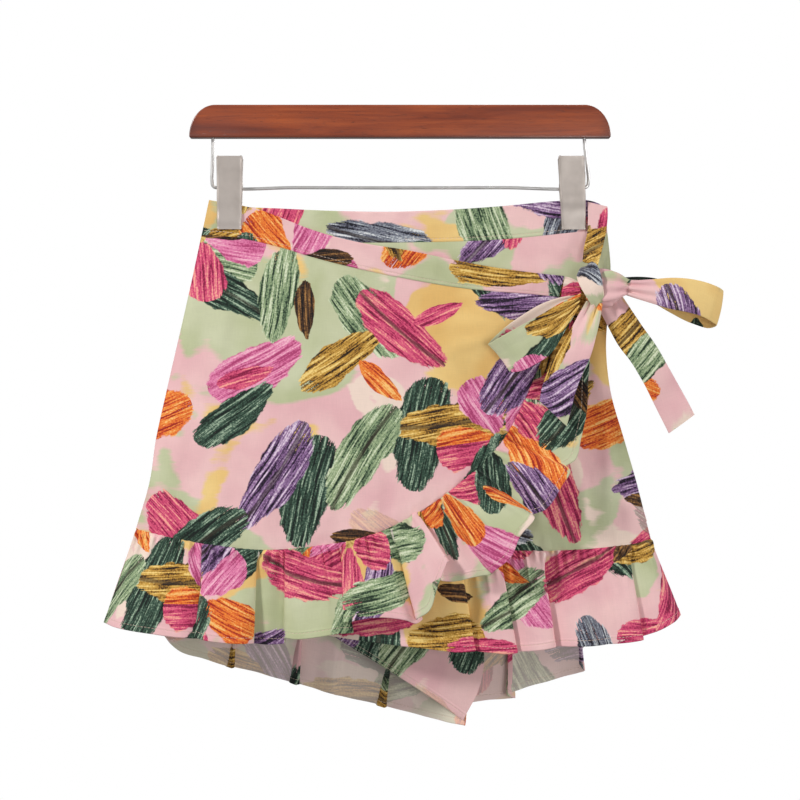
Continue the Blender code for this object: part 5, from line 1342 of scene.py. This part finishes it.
KNOT_BAND = [  # x, z, y, width, lean, swing: the turn that crosses in front
    (157.4, -139.0, -12.0, 15.0, 54.0, 0.0), (157.0, -140.8, -20.0, 18.5, 53.0, 0.0),
    (158.4, -145.0, -27.5, 21.0, 52.0, 0.0), (161.4, -152.5, -31.5, 20.5, 51.0, 0.0),
    (164.4, -160.5, -32.0, 17.5, 50.0, 0.0), (167.2, -168.0, -29.0, 14.0, 49.0, 0.0),
    (169.0, -173.6, -22.5, 12.0, 48.0, 0.0), (169.4, -175.6, -14.5, 10.5, 48.0, 0.0),
]
KNOT_SIDE = [  # the turn beneath it, drawn out into the right loop
    (167.5, -156.0, -26.0, 24.0, 10.0, 0.0), (176.0, -156.0, -28.8, 26.0, 9.0, 0.0),
    (184.5, -156.6, -29.0, 22.0, 7.0, 0.0), (190.5, -156.6, -26.6, 15.5, 5.0, 0.0),
    (194.6, -156.4, -22.6, 11.5, 4.0, 0.0),
]
ribbon("cloth_knot_band", KNOT_BAND, (140, 285), 0, 80, crown=1.1, pinch=(0.9, 0.9), folds=1.5, reach=18, seed=8)
ribbon("cloth_knot_side", KNOT_SIDE, (300, 18), 0, 60, crown=1.3, pinch=(0.5, 1.1), folds=2.5, reach=14, seed=9)


def knot_core():
    """The wound tie inside the knot, creased where the turns press into it."""
    rings, sides = 44, 64
    e = 2.0 / KNOT["power"]
    lean = math.radians(KNOT["lean"])
    verts, cut = [], []
    pick = random.Random(5)
    lines = [(pick.uniform(-0.7, 0.7), pick.uniform(-1.2, 1.2), pick.uniform(0.5, 1.1)) for _ in range(7)]
    for i in range(rings + 1):
        phi = -math.pi / 2 + math.pi * i / rings
        for j in range(sides):
            theta = 2 * math.pi * j / sides
            cp, sp, ct, st = math.cos(phi), math.sin(phi), math.cos(theta), math.sin(theta)
            x = 15.6 * math.copysign(abs(cp) ** e, cp) * math.copysign(abs(ct) ** e, ct)
            y = 8.2 * math.copysign(abs(cp) ** e, cp) * math.copysign(abs(st) ** e, st)
            z = 16.2 * math.copysign(abs(sp) ** e, sp)
            groove = sum(h * math.exp(-((z / 16 - a - b * x / 16) / 0.11) ** 2) for a, b, h in lines)
            f = 1 - 0.055 * groove
            x, y, z = x * f, y * f, z * (1 - 0.02 * groove)
            verts.append(((KNOT["x"] + x * math.cos(lean) + z * math.sin(lean)) * MM,
                          (KNOT["y"] + y) * MM,
                          (KNOT["z"] - x * math.sin(lean) + z * math.cos(lean)) * MM))
            cut.append(((140 + theta * 12) / TILE, (60 + z) / TILE))
    faces = [(i * sides + j, i * sides + (j + 1) % sides, (i + 1) * sides + (j + 1) % sides, (i + 1) * sides + j)
             for i in range(rings) for j in range(sides)]
    mesh = bpy.data.meshes.new("cloth_knot_core")
    mesh.from_pydata(verts, [], faces)
    layer = mesh.uv_layers.new(name="cut")
    for loop in mesh.loops:
        layer.data[loop.index].uv = cut[loop.vertex_index]
    bm = bmesh.new()
    bm.from_mesh(mesh)
    bmesh.ops.remove_doubles(bm, verts=bm.verts[:], dist=1e-6)
    bmesh.ops.recalc_face_normals(bm, faces=bm.faces[:])
    bm.to_mesh(mesh)
    bm.free()
    mesh.shade_smooth()
    mesh.materials.append(RIGHT_SIDE)
    ob = bpy.data.objects.new("cloth_knot_core", mesh)
    bpy.context.scene.collection.objects.link(ob)
    return ob


CORE = knot_core()


# ---- sewing ------------------------------------------------------------
def sewn(name, piece, d, sides=(1,), part=(0.0, 1.0)):
    """Machine stitches a distance up from a piece's lower edge, on one or both sides."""
    j = row_at(piece, d)
    low, high = (int(round(f * (piece["mid"].shape[0] - 1))) for f in part)
    keep = slice(max(low, 1), min(high, piece["mid"].shape[0] - 1))
    made = []
    for side in sides:
        line, out = outer(piece, j) if side > 0 else inner(piece, j)
        ob = stitches(f"{name}_{'out' if side > 0 else 'in'}", line[keep], out[keep], THREAD)
        if ob:
            made.append(ob)
    piece.setdefault("sewn", []).extend(made)
    return made


sewn("thread_waistband_front", PIECES["cloth_waistband_front"], 3.0, part=(0.50, 0.96))
sewn("thread_waistband_back", PIECES["cloth_waistband_back"], 3.0, part=(0.02, 0.98))
sewn("thread_wrap_band", PIECES["cloth_wrap_band"], 3.0, part=(0.01, 0.98))
sewn("thread_hem_over", PIECES["cloth_ruffle_over"], 5.0)
sewn("thread_hem_under", PIECES["cloth_ruffle_under"], 5.0, part=(0.30, 1.0))
sewn("thread_hem_back_left", PIECES["cloth_ruffle_back_left"], 5.0, sides=(1, -1))
sewn("thread_hem_back_right", PIECES["cloth_ruffle_back_right"], 5.0, sides=(1, -1))
for side in ("left", "right"):
    sewn(f"thread_hem_shorts_{side}", PIECES[f"cloth_shorts_front_{side}"], 5.0)
    sewn(f"thread_hem2_shorts_{side}", PIECES[f"cloth_shorts_front_{side}"], 1.4)


# ---- hanger ------------------------------------------------------------
def link(name, verts, faces, mat, smooth=True, sharp=40):
    """A mesh object from points in mm."""
    mesh = bpy.data.meshes.new(name)
    mesh.from_pydata([tuple(c * MM for c in v) for v in verts], [], faces)
    bm = bmesh.new()
    bm.from_mesh(mesh)
    bmesh.ops.recalc_face_normals(bm, faces=bm.faces[:])
    bm.to_mesh(mesh)
    bm.free()
    if smooth:
        mesh.shade_smooth()
        mesh.set_sharp_from_angle(angle=math.radians(sharp))
    mesh.materials.append(mat)
    ob = bpy.data.objects.new(name, mesh)
    bpy.context.scene.collection.objects.link(ob)
    return ob


def settle(ob):
    """The object's modifiers become its mesh."""
    bpy.context.view_layer.update()
    graph = bpy.context.evaluated_depsgraph_get()
    mesh = bpy.data.meshes.new_from_object(ob.evaluated_get(graph))
    ob.modifiers.clear()
    ob.data = mesh
    mesh.shade_smooth()
    mesh.set_sharp_from_angle(angle=math.radians(40))
    return ob


def tube(name, path, radius, sides, mat, closed=True):
    """A round wire along points, mm."""
    p = np.asarray(path, float)
    t = np.gradient(p, axis=0)
    t /= np.linalg.norm(t, axis=1)[:, None]
    up = np.cross(t[0], (0.0, 1.0, 0.0))
    if np.linalg.norm(up) < 0.2:
        up = np.cross(t[0], (1.0, 0.0, 0.0))
    verts = []
    for q, d in zip(p, t):
        up = up - d * (up @ d)
        up /= np.linalg.norm(up)
        other = np.cross(d, up)
        verts += [q + radius * (up * math.cos(2 * math.pi * k / sides) + other * math.sin(2 * math.pi * k / sides))
                  for k in range(sides)]
    faces = [(i * sides + k, i * sides + (k + 1) % sides, (i + 1) * sides + (k + 1) % sides, (i + 1) * sides + k)
             for i in range(len(p) - 1) for k in range(sides)]
    if closed:
        faces.append(tuple(range(sides - 1, -1, -1)))
        faces.append(tuple((len(p) - 1) * sides + k for k in range(sides)))
    return link(name, verts, faces, mat, sharp=60)


def bar():
    """The wooden bar: a straight slat with its upper corners rounded off."""
    line, corner = [(-BAR["half"], -BAR["height"])], BAR["half"] - BAR["flat"]
    arc = [math.pi / 2 * i / 22 for i in range(23)]
    line += [(-BAR["flat"] - corner * math.cos(a), -BAR["height"] * 0.96 * (1 - math.sin(a))) for a in arc]
    line += [(BAR["flat"] + corner * math.cos(a), -BAR["height"] * 0.96 * (1 - math.sin(a))) for a in reversed(arc)]
    line.append((BAR["half"], -BAR["height"]))
    n, half = len(line), BAR["depth"] / 2
    verts = [(x, -half, z) for x, z in line] + [(x, half, z) for x, z in line]
    faces = [tuple(range(n)), tuple(range(2 * n - 1, n - 1, -1))]
    faces += [(i, i + n, (i + 1) % n + n, (i + 1) % n) for i in range(n)]
    ob = link("wood_bar", verts, faces, WOOD)
    for foot in (WIRE_PATH[0], WIRE_PATH[-1]):
        sides, r = 40, WIRE_D / 2 + 0.35
        ring = [(r * math.cos(2 * math.pi * k / sides), r * math.sin(2 * math.pi * k / sides)) for k in range(sides)]
        pts = [(foot[0] + a, b, -34.0) for a, b in ring] + [(foot[0] + a, b, -19.5) for a, b in ring]
        fc = [tuple(range(sides)), tuple(range(2 * sides - 1, sides - 1, -1))]
        fc += [(k, k + sides, (k + 1) % sides + sides, (k + 1) % sides) for k in range(sides)]
        cutter = link("socket", pts, fc, WOOD, smooth=False)
        mod = ob.modifiers.new("socket", "BOOLEAN")
        mod.operation, mod.object = "DIFFERENCE", cutter
        settle(ob)
        bpy.data.objects.remove(cutter, do_unlink=True)
    mod = ob.modifiers.new("edge", "BEVEL")
    mod.width, mod.segments, mod.limit_method = 2.0 * MM, 4, "ANGLE"
    mod.angle_limit = math.radians(50)
    return settle(ob)


BAR_OB = bar()

way = np.asarray(WIRE_PATH, float)
leg = np.concatenate([[0.0], np.cumsum(np.linalg.norm(np.diff(way, axis=0), axis=1))])
stations = []
for i in range(len(leg) - 1):
    parts = max(2, int((leg[i + 1] - leg[i]) / 6.0)) if leg[i + 1] - leg[i] > 12.0 else 8
    stations += [leg[i] + (leg[i + 1] - leg[i]) * k / parts for k in range(parts)]
wire_xz = flow(leg, way, stations + [leg[-1]])
WIRE_OB = tube("wire_rail", np.stack([wire_xz[:, 0], 0 * wire_xz[:, 0], wire_xz[:, 1]], axis=1),
               WIRE_D / 2, 20, NICKEL)


def clip_middle(clip, z):
    f = (z - CLIP["top_z"]) / (CLIP["jaw_z"] - CLIP["top_z"])
    return (clip["top_x"] + (clip["jaw_x"] - clip["top_x"]) * f,
            (CLIP["width"] + (CLIP["jaw_width"] - CLIP["width"]) * f) / 2)


def clip_plate(label, face, clip, side):
    """One plate of a clip: flat sheet with rounded corners and edges turned in."""
    sheet, spread = 1.0, CLIP["spread"]
    grip = abs(clip[face]) + 0.35
    line = np.array([  # z, distance of the plate's inner face from the middle
        (CLIP["top_z"], spread + 0.1), (-52.0, spread - 0.9), (CLIP["flange_top"], spread - 2.1),
        (-71.0, spread - 2.8), (CLIP["flange_low"], spread - 3.4), (-90.0, spread - 4.4 - (grip < 4) * 1.2),
        (CLIP["jaw_z"] + 6.0, grip + 0.9), (CLIP["jaw_z"] + 2.0, grip + 0.15), (CLIP["jaw_z"], grip)])
    tall = CLIP["top_z"] - CLIP["jaw_z"]
    v = rows_between(tall, 1.6, top=(0.0, 0.15, 0.5, 1.0, 1.7, 2.6, 3.6), bottom=(0.0, 0.15, 0.5, 1.0, 1.7))
    z = CLIP["top_z"] - v * tall
    y_in = flow(-line[:, 0], line[:, 1], -z)[:, 0] + sheet / 2
    d_top, d_low = CLIP["top_z"] - z, z - CLIP["jaw_z"]

    def corner(d, r):
        return r - np.sqrt(np.maximum(r * r - (r - np.clip(d, 0, r)) ** 2, 0.0))

    bend = 1.3
    lip = 1.6 + 3.6 * ease((d_top - 8) / 12.0) * ease((d_low - 6) / 20.0)
    lip = lip * ease(d_top / 3.2) * ease(d_low / 2.2) + 0.05
    rows = []
    for k in range(len(z)):
        mid, half = clip_middle(clip, z[k])
        if face == "back":
            half -= 0.8
        half -= 0.05
        half -= corner(d_top[k], 1.4) + corner(d_low[k], 1.2)
        r = min(bend, max(lip[k], 0.05))
        across = []
        for f in (1.0, 0.66, 0.33, 0.0):
            across.append((-half + sheet / 2, y_in[k] - r - (lip[k] - r) * f if lip[k] > r else y_in[k] - r))
        for a in (22, 45, 68, 90):
            a = math.radians(a)
            across.append((-half + sheet / 2 + r * (1 - math.cos(a)), y_in[k] - r * (1 - math.sin(a))))
        flat = [-half + sheet / 2 + r + (2 * half - sheet - 2 * r) * i / 14 for i in range(1, 14)]
        across += [(x, y_in[k]) for x in flat]
        across += [(-x, y) for x, y in reversed(across[:8])]
        rows.append([(mid + x, side * y, z[k]) for x, y in across])
    mid_pts = np.asarray(rows).transpose(1, 0, 2)
    cut = np.stack([mid_pts[..., 0], mid_pts[..., 2]], axis=-1)
    ob = shell(f"clip_{label}_{face}_plate", mid_pts, sheet, cut, 0, (PLATE,))
    return ob


def ear(name, x0, x1, side, top_y):
    """A flat ear of a clip, with the hole that the wire runs through."""
    outline = [(side * top_y, CLIP["flange_top"] + 3.0), (side * top_y, CLIP["flange_low"] - 3.0),
               (side * 3.0, WIRE_Z - 6.6), (-side * 0.6, WIRE_Z - 4.4), (-side * 3.3, WIRE_Z - 2.6),
               (-side * 3.5, WIRE_Z), (-side * 3.3, WIRE_Z + 2.6), (-side * 0.6, WIRE_Z + 4.4),
               (side * 3.0, WIRE_Z + 6.6)]
    poly = np.asarray(outline)
    nxt = np.roll(poly, -1, axis=0)
    sides = 48
    outer_ring, hole = [], []
    for k in range(sides):
        a = 2 * math.pi * k / sides
        d = np.array([math.cos(a), math.sin(a)])
        best = 1e9
        for p, q in zip(poly, nxt):
            e, w = q - p, p - np.array([0.0, WIRE_Z])
            det = d[0] * -e[1] + d[1] * e[0]
            if abs(det) < 1e-9:
                continue
            r = (w[0] * -e[1] + w[1] * e[0]) / det
            s = (d[0] * w[1] - d[1] * w[0]) / det
            if r > 0 and -1e-6 <= s <= 1 + 1e-6:
                best = min(best, r)
        outer_ring.append((d[0] * best, WIRE_Z + d[1] * best))
        hole.append((2.3 * d[0], WIRE_Z + 2.3 * d[1]))
    verts = []
    for x in (x0, x1):
        verts += [(x, y, z) for y, z in outer_ring] + [(x, y, z) for y, z in hole]
    n = sides
    faces = []
    for k in range(n):
        m = (k + 1) % n
        faces += [(k, m, n + m, n + k), (2 * n + k, 3 * n + k, 3 * n + m, 2 * n + m),
                  (k, 2 * n + k, 2 * n + m, m), (n + k, n + m, 3 * n + m, 3 * n + k)]
    return link(name, verts, faces, PLATE, sharp=30)


def spring(label, mid):
    """A torsion spring round the wire: close coils and two arms up to the plates."""
    radius, wire, turns = 3.1, 1.15, 7
    pts = []
    for hand in (-1,):
        pts += [(mid - 4.6, -8.2, -56.0), (mid - 4.6, -6.4, -62.0), (mid - 4.6, -4.2, WIRE_Z + 2.0)]
    steps = 26 * turns
    for k in range(steps + 1):
        a = math.pi * 0.9 + 2 * math.pi * turns * k / steps
        pts.append((mid - 4.6 + 9.2 * k / steps, radius * math.cos(a), WIRE_Z + radius * math.sin(a)))
    pts += [(mid + 4.6, 4.2, WIRE_Z + 2.0), (mid + 4.6, 6.4, -62.0), (mid + 4.6, 8.2, -56.0)]
    return tube(f"spring_{label}", pts, wire / 2, 8, SPRING)


HANGER = []
for label, clip in CLIPS.items():
    for face, side in (("front", -1.0), ("back", 1.0)):
        plate = clip_plate(label, face, clip, side)
        parts = [plate]
        mid, half = clip_middle(clip, WIRE_Z)
        inset = 0.1 if face == "front" else CLIP["sheet"] + 0.75
        for hand in (-1, 1):
            x1, x0 = mid + hand * (half - inset), mid + hand * (half - inset - 1.0)
            parts.append(ear(f"clip_{label}_{face}_ear_{'l' if hand < 0 else 'r'}", min(x0, x1), max(x0, x1),
                             side, CLIP["spread"] - 3.0))
        for p in parts:
            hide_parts(f"clip_{label}_{face}")
        HANGER += parts
    mid = clip_middle(clip, WIRE_Z)[0]
    coil = spring(label, mid)
    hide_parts(f"clip_{label}_spring")
    HANGER.append(coil)

# ---- which CAD nodes each piece stands for ------------------------------
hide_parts("hanger_bar")
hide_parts("hanger_wire")
for name in list(PIECES):
    if name.startswith("cloth_") and not name.startswith("cloth_knot"):
        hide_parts(name[len("cloth_"):])
for ob in (CORE, PIECES["cloth_knot_band"]["ob"], PIECES["cloth_knot_side"]["ob"]):
    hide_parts("bow_knot")


def spread(name):
    p = PIECES["cloth_" + name]["mid"]
    return (float(np.ptp(p[..., 0])) + 3.0, float(np.ptp(p[..., 2])) + 2.0)


for ob in [CORE, BAR_OB, WIRE_OB] + HANGER:
    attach(ob, "root")
for piece in PIECES.values():
    if "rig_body" not in piece["ob"]:
        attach(piece["ob"], "root")
    for ob in piece.get("sewn", []):
        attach(ob, "root")

# ---- the set: pale floor far below, soft light, the photo's camera -------
def paper_material():
    mat = bpy.data.materials.new("pale_floor")
    mat.use_nodes = True
    n = Nodes(mat.node_tree)
    shade = mat.node_tree.nodes["Principled BSDF"]
    at = n.new("ShaderNodeTexCoord").outputs["Object"]
    tone = n.noise(at, 1.4, 3.0, 0.5, dims="3D")
    n.put(shade.inputs["Base Color"], n.mix(n.ramp(tone, 0.3, 0.7), linear((0.93, 0.93, 0.93)), linear((0.955, 0.955, 0.955))))
    shade.inputs["Roughness"].default_value = 0.9
    # the far floor runs out into the white of the backdrop
    split = n.new("ShaderNodeSeparateXYZ")
    n.put(split.inputs[0], at)
    away = n.maths("SQRT", n.maths("ADD", n.maths("MULTIPLY", split.outputs[0], split.outputs[0]),
                                   n.maths("MULTIPLY", split.outputs[1], split.outputs[1])))
    shade.inputs["Emission Color"].default_value = (1.0, 1.0, 1.0, 1.0)
    n.put(shade.inputs["Emission Strength"], n.ramp(away, 0.8, 4.0, 0.38, 1.0, smooth=True))
    return mat


mesh = bpy.data.meshes.new("floor")
ring = [(4.4 * math.cos(2 * math.pi * k / 64), 4.4 * math.sin(2 * math.pi * k / 64), -1.55) for k in range(64)]
mesh.from_pydata(ring, [], [tuple(range(64))])
mesh.materials.append(paper_material())
floor = bpy.data.objects.new("floor", mesh)
bpy.context.scene.collection.objects.link(floor)
floor.visible_diffuse = floor.visible_glossy = False

# a white backdrop all round, seen by the camera but giving no light
mat = bpy.data.materials.new("white_backdrop")
mat.use_nodes = True
mat.node_tree.nodes.clear()
n = Nodes(mat.node_tree)
glow = n.new("ShaderNodeEmission")
glow.inputs[0].default_value = (1.0, 1.0, 1.0, 1.0)
glow.inputs[1].default_value = 1.0
n.put(n.new("ShaderNodeOutputMaterial").inputs[0], glow.outputs[0])
mesh = bpy.data.meshes.new("backdrop")
bm = bmesh.new()
bmesh.ops.create_icosphere(bm, subdivisions=4, radius=9.0)
bm.to_mesh(mesh)
bm.free()
mesh.materials.append(mat)
backdrop = bpy.data.objects.new("backdrop", mesh)
bpy.context.scene.collection.objects.link(backdrop)
backdrop.visible_diffuse = backdrop.visible_shadow = backdrop.visible_glossy = False
backdrop.visible_transmission = backdrop.visible_volume_scatter = False

world = bpy.data.worlds.new("studio")
bpy.context.scene.world = world
world.use_nodes = True
world.node_tree.nodes["Background"].inputs[0].default_value = (1.0, 1.0, 1.0, 1.0)
world.node_tree.nodes["Background"].inputs[1].default_value = 0.27


def lamp(name, place, aim, size, power, colour=(1.0, 1.0, 1.0)):
    data = bpy.data.lights.new(name, "AREA")
    data.shape, data.size, data.energy, data.color = "DISK", size, power, colour
    ob = bpy.data.objects.new(name, data)
    ob.location = place
    ob.rotation_euler = (Vector(aim) - Vector(place)).to_track_quat("-Z", "Y").to_euler()
    bpy.context.scene.collection.objects.link(ob)


lamp("key", (-1.75, -1.15, 0.85), (0.0, 0.0, -0.28), 0.35, 42.0)
lamp("fill", (0.9, -2.2, -0.5), (0.0, 0.0, -0.28), 1.0, 15.0)
lamp("side", (2.2, -0.7, 0.5), (0.0, 0.0, -0.28), 0.6, 21.0)
lamp("back", (0.7, 1.9, 0.6), (0.0, 0.0, -0.25), 1.2, 22.0)

camera = bpy.data.cameras.new("photo_view")
camera.sensor_width, camera.lens = 36.0, 105.0
view = bpy.data.objects.new("photo_view", camera)
view.location = (0.0, -2.0, -0.2524)
view.rotation_euler = (math.pi / 2, 0.0, 0.0)
bpy.context.scene.collection.objects.link(view)
bpy.context.scene.camera = view
bpy.context.scene.view_settings.view_transform = "Standard"
